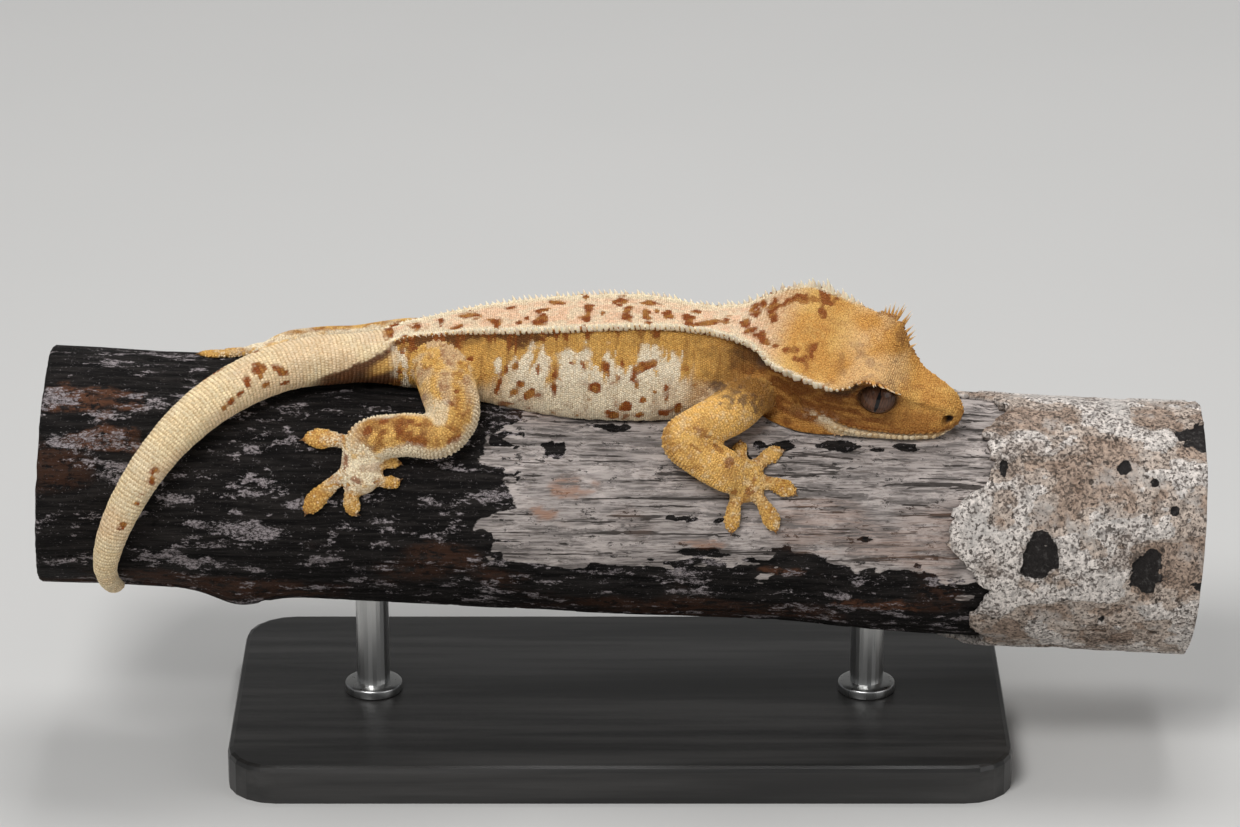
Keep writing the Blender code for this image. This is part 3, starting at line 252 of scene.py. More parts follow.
LEG_MARKS = (
    (470, 438, 1.6, 0.8), (456, 440, 1.2, 0.7), (410, 446, 1.2, 0.9, 10), (400, 430, 0.9, 0.7, 30),
    (384, 421, 0.9, 0.5, 30), (368, 430, 1.0, 0.5, 30), (419, 441, 1.3, 0.8), (456, 392, 0.4, 0.4),
    (447, 402, 1.2, 0.4, -20), (423, 400, 0.5, 1.1), (346, 463, 0.4, 1.5), (356, 480, 0.9, 0.5, -20),
    (335, 440, 0.5, 0.5), (331, 479, 0.5, 0.7, 20), (344, 492, 0.4, 0.4), (374, 481, 0.4, 0.3),
    (398, 411, 0.7, 0.6),
)
ARM_MARKS = (
    (700, 430, 1.2, 0.25, -10), (708, 437, 1.4, 0.25, -15), (720, 450, 1.1, 0.35, -30),
    (729, 463, 0.7, 0.9), (734, 492, 0.5, 0.6), (750, 492, 0.7, 0.7), (757, 505, 0.6, 0.4),
    (696, 448, 1.2, 0.25, -40), (754, 480, 0.4, 0.4),
)


# Patches of the branch: photo pixel, half length and half width in millimetres
BLACK_PATCHES = (
    (500, 440, 3.6, 2.2), (486, 480, 4.5, 2.6), (556, 448, 2.2, 1.4), (440, 545, 9.0, 5.0),
    (540, 452, 0.9, 0.7), (476, 505, 4.0, 2.0), (560, 590, 6.0, 2.4), (640, 586, 8.0, 2.2),
    (720, 576, 9.0, 3.0), (800, 590, 10.0, 3.0), (690, 553, 3.5, 0.8), (860, 600, 9.0, 2.6),
    (690, 520, 4.5, 0.6), (930, 608, 6.0, 3.0), (905, 446, 2.4, 0.7), (740, 455, 3.0, 1.2),
    (850, 446, 5.0, 1.0), (780, 447, 4.0, 1.2), (610, 425, 3.0, 1.0), (870, 540, 1.6, 0.5),
)
DUSTY_PATCHES = (
    (90, 440, 9.0, 1.6), (50, 400, 4.0, 1.2), (120, 475, 6.0, 1.6), (240, 530, 7.0, 1.8),
    (200, 565, 8.0, 1.4), (15, 490, 3.0, 2.4), (30, 440, 2.0, 1.6), (320, 560, 3.0, 0.8),
    (300, 505, 2.5, 0.7), (180, 590, 5.0, 0.8),
)
BROWN_PATCHES = (
    (570, 487, 3.4, 2.2), (545, 515, 2.4, 1.2), (80, 400, 9.0, 3.0), (110, 440, 6.0, 2.0),
    (880, 606, 7.0, 1.6), (700, 545, 4.0, 0.8), (800, 575, 5.0, 0.9),
)
BARK_PATCHES = (
    (1040, 555, 3.2, 3.4), (1145, 572, 2.6, 3.6), (1123, 471, 1.1, 1.4), (1155, 485, 0.7, 0.9),
    (1205, 440, 4.4, 3.6), (1175, 512, 0.7, 0.7), (1100, 615, 1.4, 0.8), (1228, 468, 2.0, 1.6),
    (1215, 585, 4.0, 0.8), (1003, 470, 0.6, 1.2),
)


def size(name, about, default, low, high):
    """A length property: given in millimetres, kept in metres."""
    return FloatProperty(name=name, description=about, default=default * MM, min=low * MM, max=high * MM,
                         precision=5, unit="LENGTH", subtype="DISTANCE")


def colour(name, about, default):
    return FloatVectorProperty(name=name, description=about, default=default, min=0.0, max=1.0, size=3,
                               subtype="COLOR")


class GeckoShape(bpy.types.PropertyGroup):
    """Sizes of the finished surface."""
    skin_cell: size("Skin cell", "Edge length of the skin's faces", 0.53, 0.3, 1.0)
    scale_step: size("Scale step", "Distance between scales", 0.415, 0.35, 1.2)
    crest_step: size("Crest step", "Distance between crest spines", 0.95, 0.4, 3.0)
    crest_long: size("Longest crest spine", "Length at the corner of the head", 1.7, 0.3, 3.0)
    crest_short: size("Back spine", "Length of the spines along the back", 1.15, 0.2, 2.0)
    lash_length: size("Lash length", "Longest spine over the eye", 2.7, 0.5, 4.0)
    lashes: IntProperty(name="Lashes", description="Spines over each eye", default=12, min=3, max=20)


class GeckoColours(bpy.types.PropertyGroup):
    """Colours of the animal, its perch and its stand."""
    cream: colour("Cream", "Raised scales along the ridges", (0.80, 0.69, 0.50))
    pink: colour("Pinkish cream", "Band along the back", (0.80, 0.55, 0.37))
    white: colour("White", "Blotches low on the flanks", (0.80, 0.71, 0.55))
    ochre: colour("Ochre", "Flanks", (0.62, 0.35, 0.085))
    brown: colour("Brown", "Front of the flanks and sides of the head", (0.25, 0.10, 0.019))
    dark: colour("Dark brown", "Below the ridges", (0.045, 0.018, 0.006))
    rust: colour("Rust", "Spots", (0.25, 0.062, 0.006))
    grey: colour("Grey", "Mottling at the shoulder", (0.065, 0.05, 0.045))
    crown: colour("Crown", "Top of the head", (0.63, 0.325, 0.078))
    gold: colour("Gold", "Legs and toes", (0.72, 0.44, 0.13))
    tail: colour("Tail", "Pale yellow cream", (0.88, 0.73, 0.47))
    eye: colour("Eye", "Iris", (0.080, 0.036, 0.020))
    # the black of charred wood, also used for painted shade on the branch's underside
    char: colour("Charred wood", "Dark parts of the branch", (0.014, 0.012, 0.011))
    wood: colour("Weathered wood", "Bare grey parts of the branch", (0.34, 0.30, 0.28))
    bark: colour("Bark", "Bark left on the branch", (0.54, 0.49, 0.45))
    base: colour("Base", "Stand", (0.022, 0.021, 0.020))
    steel: colour("Steel", "Rods of the stand", (0.55, 0.55, 0.54))


def millimetres(name):
    """One of the sidebar's lengths, in millimetres and in single precision."""
    return float(np.float32(round(getattr(bpy.context.scene.gecko_shape, name) / MM, 4)))


def shade(name):
    """One of the sidebar's colours, in linear values."""
    return np.array(getattr(bpy.context.scene.gecko_colours, name))


def to_world():
    """Branch frame in millimetres to the world in metres."""
    tilt = Matrix.Rotation(PERCH_SLOPE, 4, "Y")
    return Matrix.Translation((0, 0, AXIS_HEIGHT * MM)) @ tilt @ Matrix.Scale(MM, 4)


def moved(points, matrix):
    """Points after a 4 by 4 matrix."""
    matrix = np.array(matrix)
    return points @ matrix[:3, :3].T + matrix[:3, 3]


def unit(vectors):
    return vectors / np.maximum(np.linalg.norm(vectors, axis=-1, keepdims=True), 1e-12)


def square_to(vectors, axes):
    """Unit vectors at right angles to the axes, as near as can be to the given ones."""
    return unit(vectors - axes * (vectors * axes).sum(1, keepdims=True))


def run_along(points):
    """Distance from the first point to each, along their line."""
    return np.concatenate(([0.0], np.cumsum(np.linalg.norm(np.diff(points, axis=0), axis=1))))


def mirrored(place, side):
    """The place on the left for side 1, on the right for -1."""
    return np.array(place) * (1, side, 1)


def columns(rows):
    """An array for each column of the rows."""
    return (np.array(column) for column in zip(*rows))


def smooth(low, high, value):
    """0 at low, 1 at high, with soft ends; low may lie over high."""
    t = np.clip((value - low) / (high - low), 0, 1)
    return t * t * (3 - 2 * t)


def mix(a, b, share):
    """From a where the share is 0 to b where it is 1."""
    return a + (b - a) * np.asarray(share)[..., None]


def wash(base, name, share):
    return mix(base, shade(name), share)


def between(first, second, share):
    return mix(shade(first), shade(second), share)


def lattice_noise(points, size, seed=0):
    """Smooth noise from 0 to 1, with features about size across."""
    place = np.asarray(points, float) / size + 0.137 * (seed + 1)
    cell = np.floor(place).astype(np.int64)
    inside = place - cell
    inside = inside * inside * (3 - 2 * inside)
    total = np.zeros(len(place))
    for corner in np.ndindex(2, 2, 2):
        at = cell + corner
        mixed = at[:, 0] * 73856093 ^ at[:, 1] * 19349663 ^ at[:, 2] * 83492791 ^ (seed + 7) * 2654435761
        mixed = (mixed ^ (mixed >> 13)) * 1274126177
        mixed = ((mixed ^ (mixed >> 16)) & 0xFFFF) / 65535.0
        total += mixed * np.prod(np.where(corner, inside, 1 - inside), axis=1)
    return total


def rough_noise(points, size, seed=0, octaves=3):
    total, weight = 0.0, 0.0
    for octave in range(octaves):
        share = 0.5 ** octave
        total = total + share * lattice_noise(points, size * share, seed + 31 * octave)
        weight += share
    return total / weight


def spline(knots, values, at):
    """Cubic curve through rows of values at rising knots, read at many places."""
    knots, values, at = np.asarray(knots, float), np.asarray(values, float), np.asarray(at, float)
    slopes = np.gradient(values, knots, axis=0)
    index = np.clip(np.searchsorted(knots, at, side="right") - 1, 0, len(knots) - 2)
    width = knots[index + 1] - knots[index]
    t = ((at - knots[index]) / width)[:, None]
    width = width[:, None]
    start, end = values[index], values[index + 1]
    return (start * (1 + 2 * t) * (1 - t) ** 2 + width * slopes[index] * t * (1 - t) ** 2
            + end * t * t * (3 - 2 * t) - width * slopes[index + 1] * t * t * (1 - t))


def on_branch(along, around, lift):
    """A point over the plain branch, with around in degrees from its top."""
    angle = math.radians(around)
    reach = PERCH_RADIUS + lift
    return np.array((along, -reach * math.sin(angle), reach * math.cos(angle)))


def radial(around):
    """The direction away from the branch's axis."""
    angle = math.radians(around)
    return np.array((0.0, -math.sin(angle), math.cos(angle)))


def head_axes():
    """The head's forward, left and up directions, as columns."""
    return np.array(Matrix.Rotation(HEAD_YAW, 3, "Z") @ Matrix.Rotation(-HEAD_PITCH, 3, "Y")
                    @ Matrix.Rotation(HEAD_ROLL, 3, "X"))


def head_place(x, y, z):
    return np.array(NOSE) + head_axes() @ np.array((x, y, z))


def turn_between(first, second):
    """Degrees from the second direction to the first, from -180 to 180."""
    return (first - second + 180.0) % 360.0 - 180.0


def around_of(points):
    """Degrees round the branch from its top, of points in the branch frame."""
    return np.degrees(np.arctan2(-points[:, 1], points[:, 2]))


def wood_radius(along, around):
    """The bare branch's radius, with its slow swells and its one knot; around is in degrees."""
    angle = np.radians(around)
    radius = PERCH_RADIUS + 0.0 * angle
    for height, rate, phase, lobes in SWELLS:
        radius = radius + height * np.sin(rate * along + phase) * np.cos(lobes * angle + phase)
    apart = turn_between(around, KNOT_AROUND)
    near = ((along - KNOT_ALONG) / KNOT_LENGTH) ** 2 + (apart / KNOT_SPREAD) ** 2
    return radius + KNOT_HEIGHT * np.exp(-near)


def bark_edge(around):
    angle = np.radians(around)
    return BARK_START + BARK_RAGGED * (0.6 * np.sin(3 * angle + 0.8) + 0.4 * np.sin(7 * angle + 2.0))


def perch_reach(points):
    """The branch's radius, with bark where it has it, under points of the branch frame."""
    around = around_of(points)
    radius = wood_radius(points[:, 0], around)
    return radius + (BARK_GAP + BARK_THICK) * smooth(-0.6, 0.1, points[:, 0] - bark_edge(around))


def trunk_table():
    """Distance behind the nose, centre, forward and up directions and section of every station."""
    head = head_axes()
    rows = [(head_place(-behind, 0, 0), head[:, 2], section) for behind, section in HEAD_SECTIONS.items()]
    head_count = len(rows)
    for along, around, lift, roll, section in BODY_SECTIONS:
        rows.append((on_branch(along, around, lift), radial(around + roll), section))
    for along, around, half_width, half_height in TAIL_SECTIONS:
        section = tuple(key * (half_width if wide else half_height)
                        for key, wide in zip(ELLIPSE_KEYS, IS_WIDTH))
        rows.append((on_branch(along, around, half_height), radial(around), section))
    centres = np.array([row[0] for row in rows])
    distance = run_along(centres)
    forward = -np.gradient(centres[head_count:], distance[head_count:], axis=0)
    forward = np.vstack((np.tile(head[:, 0], (head_count, 1)), unit(forward)))
    return distance, centres, forward, np.array([row[1] for row in rows]), np.array([row[2] for row in rows])


TRUNK_TABLE = trunk_table()
TRUNK_LENGTH = float(TRUNK_TABLE[0][-1])


def trunk_frame(at):
    """Centre, forward, left and up directions and section at distances behind the nose."""
    distance, centres, forwards, ups, sections = TRUNK_TABLE
    at = np.atleast_1d(np.asarray(at, float))
    forward = unit(spline(distance, forwards, at))
    up = square_to(spline(distance, ups, at), forward)
    return spline(distance, centres, at), forward, np.cross(up, forward), up, spline(distance, sections, at)


def half_section(keys):
    crown, crest_y, crest_z, flare, edge, flank_y, flank_z, low_y, low_z, belly_y, belly_z, keel = keys
    return np.array(((0.0, crown), (0.6 * crest_y, 0.45 * crown + 0.55 * crest_z - 0.02 * crest_y),
                     (crest_y, crest_z), (crest_y - flare, crest_z - edge), (flank_y, flank_z),
                     (low_y, low_z), (belly_y, belly_z), (0.0, keel)))


def closed_curve(corners, per_span):
    """Centripetal Catmull-Rom curve through a closed run of corners."""
    p = [np.roll(corners, shift, axis=0) for shift in (1, 0, -1, -2)]
    knots = [np.zeros(len(corners))]
    for a, b in zip(p, p[1:]):
        knots.append(knots[-1] + np.sqrt(np.linalg.norm(b - a, axis=1)) + 1e-9)
    out = np.empty((len(corners), per_span, 2))
    for i in range(per_span):
        t = knots[1] + (knots[2] - knots[1]) * i / per_span

        def blend(a, b, ka, kb):
            return a + (b - a) * ((t - ka) / (kb - ka))[:, None]

        a1, a2, a3 = (blend(p[j], p[j + 1], knots[j], knots[j + 1]) for j in range(3))
        b1, b2 = blend(a1, a2, knots[0], knots[2]), blend(a2, a3, knots[1], knots[3])
        out[:, i] = blend(b1, b2, knots[1], knots[2])
    return out.reshape(-1, 2)


def nose_rounding(behind):
    depth = np.clip(behind / NOSE_ROUND, 0, 1)
    return np.sqrt(1 - (1 - depth) ** 2)


def section_outline(behind, keys, per_span):
    """A closed outline across the trunk, with each point's key number and signed reach from the crown."""
    half = half_section(keys)
    outline = closed_curve(np.vstack((half, half[-2:0:-1] * (-1, 1))), per_span)
    middle = np.array((0.0, NOSE_LEVEL if behind < NOSE_ROUND else 0.0))
    outline = middle + (outline - middle) * max(nose_rounding(behind), 0.02)
    key = np.arange(len(outline)) / per_span
    run = run_along(np.vstack((outline, outline[:1])))
    left = key <= 7
    arc = np.where(left, -run[:-1], run[-1] - run[:-1])
    key = np.where(left, key, 14 - key)
    return outline, key, arc, abs(arc[2 * per_span])


def note_rows(part, behind, arc, key, below):
    """One row for each point of a ring; what is the same all round may be a single number."""
    return np.stack(np.broadcast_arrays(part, behind, arc, key, below), axis=1)


def trunk_rings(at, per_span):
    """Rings round the trunk, with rows of part, behind, arc, key and depth below the ridge."""
    centres, _, lefts, ups, sections = trunk_frame(at)
    rings, notes = [], []
    for behind, centre, left, up, keys in zip(at, centres, lefts, ups, sections):
        outline, key, arc, ridge = section_outline(behind, keys, per_span)
        rings.append(centre + outline[:, :1] * left + outline[:, 1:] * up)
        notes.append(note_rows(TRUNK, behind, arc, key, np.abs(arc) - ridge))
    return rings, notes


def tube_rings(places, ups, sides, count):
    """Rings of an oval tube through rows of place, half width and half thickness."""
    points, halves = np.array(places, float)[:, :3], np.array(places, float)[:, 3:5]
    knots = run_along(points)
    at = knots[-1] * np.linspace(0, 1, count)
    nudge = 0.02 * knots[-1]
    centre = spline(knots, points, at)
    forward = unit(spline(knots, points, np.clip(at + nudge, 0, knots[-1]))
                   - spline(knots, points, np.clip(at - nudge, 0, knots[-1])))
    up = square_to(spline(knots, np.array(ups, float), at), forward)
    side = np.cross(up, forward)
    half = spline(knots, halves, at)
    turn = np.linspace(0, 2 * math.pi, sides, endpoint=False)
    rings = [c + np.outer(np.cos(turn), s * h[0]) + np.outer(np.sin(turn), u * h[1])
             for c, s, u, h in zip(centre, side, up, half)]
    return rings, turn, knots[-1]


def limb_rings(kind, side, sides=32, step=0.5):
    """Rings along an arm or a leg, with their notes."""
    middle = next(foot[1] for foot in FEET if foot[0] == (kind, side))
    joints = LIMBS[kind, side] + ((*middle, *PALM_JOINT),)
    places = [(*on_branch(along, around, lift), wide, thick) for along, around, lift, wide, thick in joints]
    ups = [radial(joint[1]) for joint in joints]
    length = tube_rings(places, ups, 4, 4)[2]
    rings, turn, _ = tube_rings(places, ups, sides, int(length / step))
    part = ARM if kind == "arm" else LEG
    notes = [note_rows(part, share, turn, side == "right", length * share)
             for share in np.linspace(0, 1, len(rings))]
    return rings, notes


def unrolled(middle, offset, lift):
    """A point over the branch, from millimetres along and round it."""
    down = math.degrees(offset[1] / PERCH_RADIUS)
    return on_branch(middle[0] + offset[0], middle[1] + down, lift)


def turned(offset, degrees, side):
    """An offset turned on the branch, mirrored for the left side."""
    c, s = math.cos(math.radians(degrees)), math.sin(math.radians(degrees))
    return np.array((offset[0] * c - offset[1] * s, (offset[0] * s + offset[1] * c) * side))


def toe_curve(middle, toe, toe_side, turn):
    """Rows of place, half width and thickness along a toe, and the directions away from the bark."""
    root, bend, tip = (turned(point, turn, toe_side) for point in toe[:3])
    control = 2 * bend - (root + tip) / 2
    rows, ups = [], []
    for share, wide, thick in TOE_SHAPE:
        offset = (1 - share) ** 2 * root + 2 * share * (1 - share) * control + share ** 2 * tip
        rows.append((*unrolled(middle, offset, thick * 0.75), wide * toe[3], thick))
        ups.append(radial(middle[1] + math.degrees(offset[1] / PERCH_RADIUS)))
    return rows, ups


def foot_rings(limb, middle, turn, halves, toes):
    """Every solid of a foot: palm, wrist and toes, each as rings with notes."""
    toe_side = 1 if middle[1] > 0 else -1
    palm_part, toe_part = (HAND, HAND_TOE) if limb[0] == "arm" else (FOOT, FOOT_TOE)
    profile = ((0.02, PALM_THICK), (0.25, PALM_THICK), (0.45, PALM_THICK * 0.95), (0.65, PALM_THICK * 0.84),
               (0.8, PALM_THICK * 0.7), (0.92, PALM_THICK * 0.48), (1.0, PALM_THICK * 0.22),
               (0.97, -PALM_SINK * 0.3), (0.9, -PALM_SINK), (0.5, -PALM_SINK), (0.02, -PALM_SINK))
    right = limb[1] == "right"
    rings, notes = [], []
    for share, lift in profile:
        ring = [unrolled(middle, turned((share * halves[0] * math.cos(a), share * halves[1] * math.sin(a)),
                                        turn, toe_side), lift)
                for a in np.linspace(0, 2 * math.pi, PALM_SIDES, endpoint=False)]
        rings.append(np.array(ring))
        notes.append(np.tile((palm_part, share, 0.0, float(right), lift), (PALM_SIDES, 1)))
    solids = [(rings, notes)]
    end = np.array((*on_branch(*LIMBS[limb][-1][:3]), *LIMBS[limb][-1][3:]))
    halfway = 0.5 * end[:3] + 0.5 * unrolled(middle, (0, 0), 1.2)
    wrist = [tuple(end), (*halfway, end[3] * 0.96, end[4] * 0.8),
             (*unrolled(middle, (0, 0), 0.9), end[3] * 0.8, 1.2)]
    ups = [radial(LIMBS[limb][-1][1]), radial(middle[1]), radial(middle[1])]
    rings, angles, _ = tube_rings(wrist, ups, WRIST_SIDES, WRIST_RINGS)
    solids.append((rings, [note_rows(palm_part, 0.6, 0 * angles, right, 1.0)] * WRIST_RINGS))
    for toe in toes:
        rows, ups = toe_curve(middle, toe, toe_side, turn)
        rings, angles, _ = tube_rings(rows, ups, TOE_SIDES, TOE_RINGS)
        notes = [note_rows(toe_part, share, angles, right, 0.0) for share in np.linspace(0, 1, TOE_RINGS)]
        solids.append((rings, notes))
    return solids


def flesh_solids():
    """All the animal's closed forms, each as rings with notes."""
    at = np.concatenate(((0.03, 0.12, 0.3, 0.55, 0.9, 1.3, 1.8, 2.4), np.arange(3.0, TRUNK_LENGTH, 0.6),
                         (TRUNK_LENGTH,)))
    solids = [trunk_rings(at, TRUNK_CORNERS)]
    solids += [limb_rings(*limb) for limb in LIMBS]
    for foot in FEET:
        solids += foot_rings(*foot)
    return solids


def new_mesh(name, points, faces, world=True):
    """A mesh object from points and one or two arrays of faces, each with its own count of corners."""
    groups = faces if isinstance(faces, (list, tuple)) else [faces]
    groups = [np.asarray(group, np.int32) for group in groups if len(group)]
    points = moved(np.asarray(points, float), to_world()) if world else np.asarray(points, float)
    corners = np.concatenate([group.ravel() for group in groups])
    totals = np.concatenate([np.full(len(group), group.shape[1], np.int32) for group in groups])
    data = bpy.data.meshes.new(name)
    data.vertices.add(len(points))
    data.vertices.foreach_set("co", points.astype(np.float32).ravel())
    data.loops.add(len(corners))
    data.loops.foreach_set("vertex_index", corners)
    data.polygons.add(len(totals))
    data.polygons.foreach_set("loop_start", np.concatenate(([0], np.cumsum(totals)[:-1])).astype(np.int32))
    data.update(calc_edges=True)
    data.validate()
    data.polygons.foreach_set("use_smooth", np.ones(len(data.polygons), bool))
    obj = bpy.data.objects.new(name, data)
    bpy.context.scene.collection.objects.link(obj)
    return obj


def read_mesh(obj):
    points = np.empty(len(obj.data.vertices) * 3, np.float32)
    obj.data.vertices.foreach_get("co", points)
    return points.reshape(-1, 3).astype(float)


def ring_faces(count, sides, first=0):
    """Quads between each ring and the next, given in order."""
    ring = np.arange(count - 1)[:, None] * sides + first
    i = np.arange(sides)[None, :]
    j = (i + 1) % sides
    return np.stack((ring + i, ring + j, ring + sides + j, ring + sides + i), axis=-1).reshape(-1, 4)


def fan(sides, first, middle, flip=False):
    """Triangles from a ring of corners to one middle point."""
    i = np.arange(sides)
    j = (i + 1) % sides
    if flip:
        i, j = j, i
    return np.stack((first + i, first + j, np.full(sides, middle)), axis=1)


def lofted(name, solids):
    """One object that holds every solid, each capped at its ends, in millimetres of the branch frame."""
    points, quads, caps, first = [], [], [], 0
    for rings, _ in solids:
        sides, count = len(rings[0]), len(rings)
        points += rings + [rings[0].mean(0)[None], rings[-1].mean(0)[None]]
        quads.append(ring_faces(count, sides, first))
        after = first + count * sides
        caps += [fan(sides, first, after, flip=True), fan(sides, after - sides, after + 1)]
        first = after + 2
    return new_mesh(name, np.vstack(points), [np.vstack(quads), np.vstack(caps)], world=False)


def fill_modifier(obj, cell):
    """Fuses all of an object's closed forms into one even skin."""
    modifier = obj.modifiers.new("one skin", "REMESH")
    modifier.mode = "VOXEL"
    modifier.voxel_size = cell
    modifier.adaptivity = 0.0
    with bpy.context.temp_override(object=obj, active_object=obj):
        bpy.ops.object.modifier_apply(modifier=modifier.name)


def write_mesh(obj, points):
    obj.data.vertices.foreach_set("co", points.astype(np.float32).ravel())


def store(obj, name, values):
    """Keeps one number, or three, for each vertex."""
    kind, key = ("FLOAT", "value") if values.ndim == 1 else ("FLOAT_VECTOR", "vector")
    layer = obj.data.attributes.new(name, kind, "POINT")
    layer.data.foreach_set(key, values.astype(np.float32).ravel())


def edge_pairs(data):
    pairs = np.empty(len(data.edges) * 2, np.int32)
    data.edges.foreach_get("vertices", pairs)
    return pairs.reshape(-1, 2)


def relaxed(points, pairs, rounds, push=0.5, pull=-0.53, share=1.0):
    """Smooths without shrinking; share may hold back single points."""
    count = len(points)
    links = np.bincount(pairs.ravel(), minlength=count)[:, None]
    for turn in range(2 * rounds):
        total = np.empty_like(points)
        for axis in range(3):
            total[:, axis] = (np.bincount(pairs[:, 0], points[pairs[:, 1], axis], count)
                              + np.bincount(pairs[:, 1], points[pairs[:, 0], axis], count))
        points = points + share * (push if turn % 2 == 0 else pull) * (total / links - points)
    return points


class SourceNotes:
    """Finds what a place on the skin belongs to, from the rings that it was made of."""

    def __init__(self, solids):
        self.points = np.vstack([ring for rings, _ in solids for ring in rings])
        self.notes = np.vstack([note for _, notes in solids for note in notes])
        self.tree = KDTree(len(self.points))
        for i, point in enumerate(self.points):
            self.tree.insert(point, i)
        self.tree.balance()

    def nearest_part(self, points):
        return np.array([self.notes[self.tree.find(point)[1], 0] for point in points])

    def read(self, points):
        out = np.empty((len(points), 5))
        for i, point in enumerate(points):
            found = self.tree.find_n(point, 3)
            index = [row[1] for row in found]
            notes = self.notes[index]
            same = (notes[:, 0] == notes[0, 0]) & (np.abs(notes[:, 2] - notes[0, 2]) < 2.5)
            weight = same / (np.array([row[2] for row in found]) ** 2 + 1e-3)
            out[i] = weight @ notes / weight.sum()
        return out


def vertex_normals(points, quads):
    a, b, c, d = (points[quads[:, k]] for k in range(4))
    face = np.cross(c - a, d - b)
    normal = np.zeros_like(points)
    for k in range(4):
        for axis in range(3):
            normal[:, axis] += np.bincount(quads[:, k], face[:, axis], len(points))
    return unit(normal)


def head_local(points):
    return (points - np.array(NOSE)) @ head_axes()


def mouth_level(behind):
    """Height of the mouth's line in the head's own frame."""
    knots, levels = columns(MOUTH_LINE)
    return spline(knots, levels[:, None], np.clip(behind, 0, MOUTH_END))[:, 0]


def eye_offsets(local, side):
    """Distance from the eye's axis and height along it, in units that make the eyeball a sphere."""
    centre, faces = mirrored(EYE_AT, side), mirrored(EYE_FACES, side)
    away = (local - centre) / EYE_SQUASH
    height = away @ faces
    return np.linalg.norm(away - height[:, None] * faces, axis=1), height, faces


def carve_head(points, normals, notes):
    """Sinks the mouth, nostrils and ears into the head and raises a rim round each eye."""
    local = head_local(points)
    behind = -local[:, 0]
    level = mouth_level(behind)
    shrink = np.maximum(nose_rounding(np.maximum(behind, 0)), 0.02)
    level = np.where(behind < NOSE_ROUND, NOSE_LEVEL + (level - NOSE_LEVEL) * shrink, level)
    on_head = (notes[:, 0] == TRUNK) & (notes[:, 1] < 38)
    side_share = smooth(0.1, 0.5, np.abs(normals @ head_axes()[:, 1]) + 1.2 * (behind < 2.5))
    reach = on_head * side_share * (1 - smooth(MOUTH_END - 1.2, MOUTH_END + 0.4, behind))
    apart = local[:, 2] - level
    wave = 0.05 * np.sin(behind * 7.0)
    depth = -0.42 * np.exp(-(apart / 0.2) ** 2) + (0.2 + wave) * np.exp(-((apart + 0.6) / 0.33) ** 2)
    depth += 0.14 * np.exp(-((apart - 0.55) / 0.33) ** 2)
    depth = depth * reach
    for side in (1, -1):
        away = local - mirrored(NOSTRIL_AT, side)
        far = np.linalg.norm(away * (0.85, 1.0, 1.15), axis=1)
        depth += on_head * (-1.7 * np.exp(-(far / 0.66) ** 2) + 0.2 * np.exp(-((far - 1.2) / 0.3) ** 2))
        away = local - mirrored(EAR_AT, side)
        c, s = math.cos(EAR_LEAN), math.sin(EAR_LEAN)
        across, down = away[:, 0] * c + away[:, 2] * s, -away[:, 0] * s + away[:, 2] * c
        oval = np.sqrt((across / 0.75) ** 2 + (down / 1.9) ** 2 + (away[:, 1] / 2.5) ** 2)
        depth += on_head * (-1.0 * np.exp(-oval ** 2) + 0.22 * np.exp(-((oval - 1.5) / 0.4) ** 2))
    points = points + depth[:, None] * normals
    for side in (1, -1):
        far, height, faces = eye_offsets(head_local(points), side)
        near = on_head & (far < 6.5) & (height > -1.5)
        ball = np.sqrt(np.maximum(EYE_RADIUS ** 2 - far ** 2, 0))
        rim = np.where(far < EYE_OPENING, ball - 0.7, ball + 0.16)
        hug = 1 - smooth(EYE_OPENING + 0.1, EYE_OPENING + 0.75, far)
        lift = np.where(far < EYE_OPENING, rim - height, np.clip(rim - height, -1.0, 3.0) * hug)
        moat = -0.16 * np.exp(-((far - EYE_OPENING - 1.15) / 0.3) ** 2)
        step = (lift + np.where(far > EYE_OPENING, moat, 0.0)) * near
        points = points + (step[:, None] * faces * EYE_SQUASH) @ head_axes().T
    return points


def fold_skin(points, normals, notes):
    """Soft folds round the neck, the shoulders and the hips, and rings round the tail."""
    part, behind, _, _, below = notes.T
    trunk = part == TRUNK
    along = np.where(trunk, behind, 0)
    warp = 1.6 * rough_noise(points, 7.0, 3, 2)
    neck = np.exp(-((along - 38) / 5.5) ** 2) * smooth(0.5, 3.0, below)
    hips = np.exp(-((along - 92) / 9.0) ** 2) * smooth(1.0, 4.0, below)
    sides = smooth(44, 50, along) * (1 - smooth(96, 104, along)) * smooth(1.5, 5.0, below)
    depth = 0.16 * neck * np.sin(along * 2.6 + 3 * warp) + 0.12 * hips * np.sin(along * 2.9 + 2.4 * warp)
    depth += 0.07 * sides * np.sin(along * 2.2 + 3.5 * warp)
    tail = smooth(TORSO_END, TORSO_END + 8, along)
    depth += 0.03 * tail * np.cos(2 * math.pi * along / TAIL_RING)
    depth = depth * trunk
    depth += 0.10 * (rough_noise(points, 3.2, 9, 2) - 0.5)
    return points + depth[:, None] * normals


def kept_off_perch(points, room):
    """Points no nearer to the branch than room, for what lies on it."""
    radius = np.hypot(points[:, 1], points[:, 2])
    wanted = perch_reach(points) + room
    grow = np.where((radius < wanted) & (np.abs(points[:, 0]) < PERCH_HALF + 1), wanted / radius, 1.0)
    return points * np.stack((np.ones_like(grow), grow, grow), axis=1)


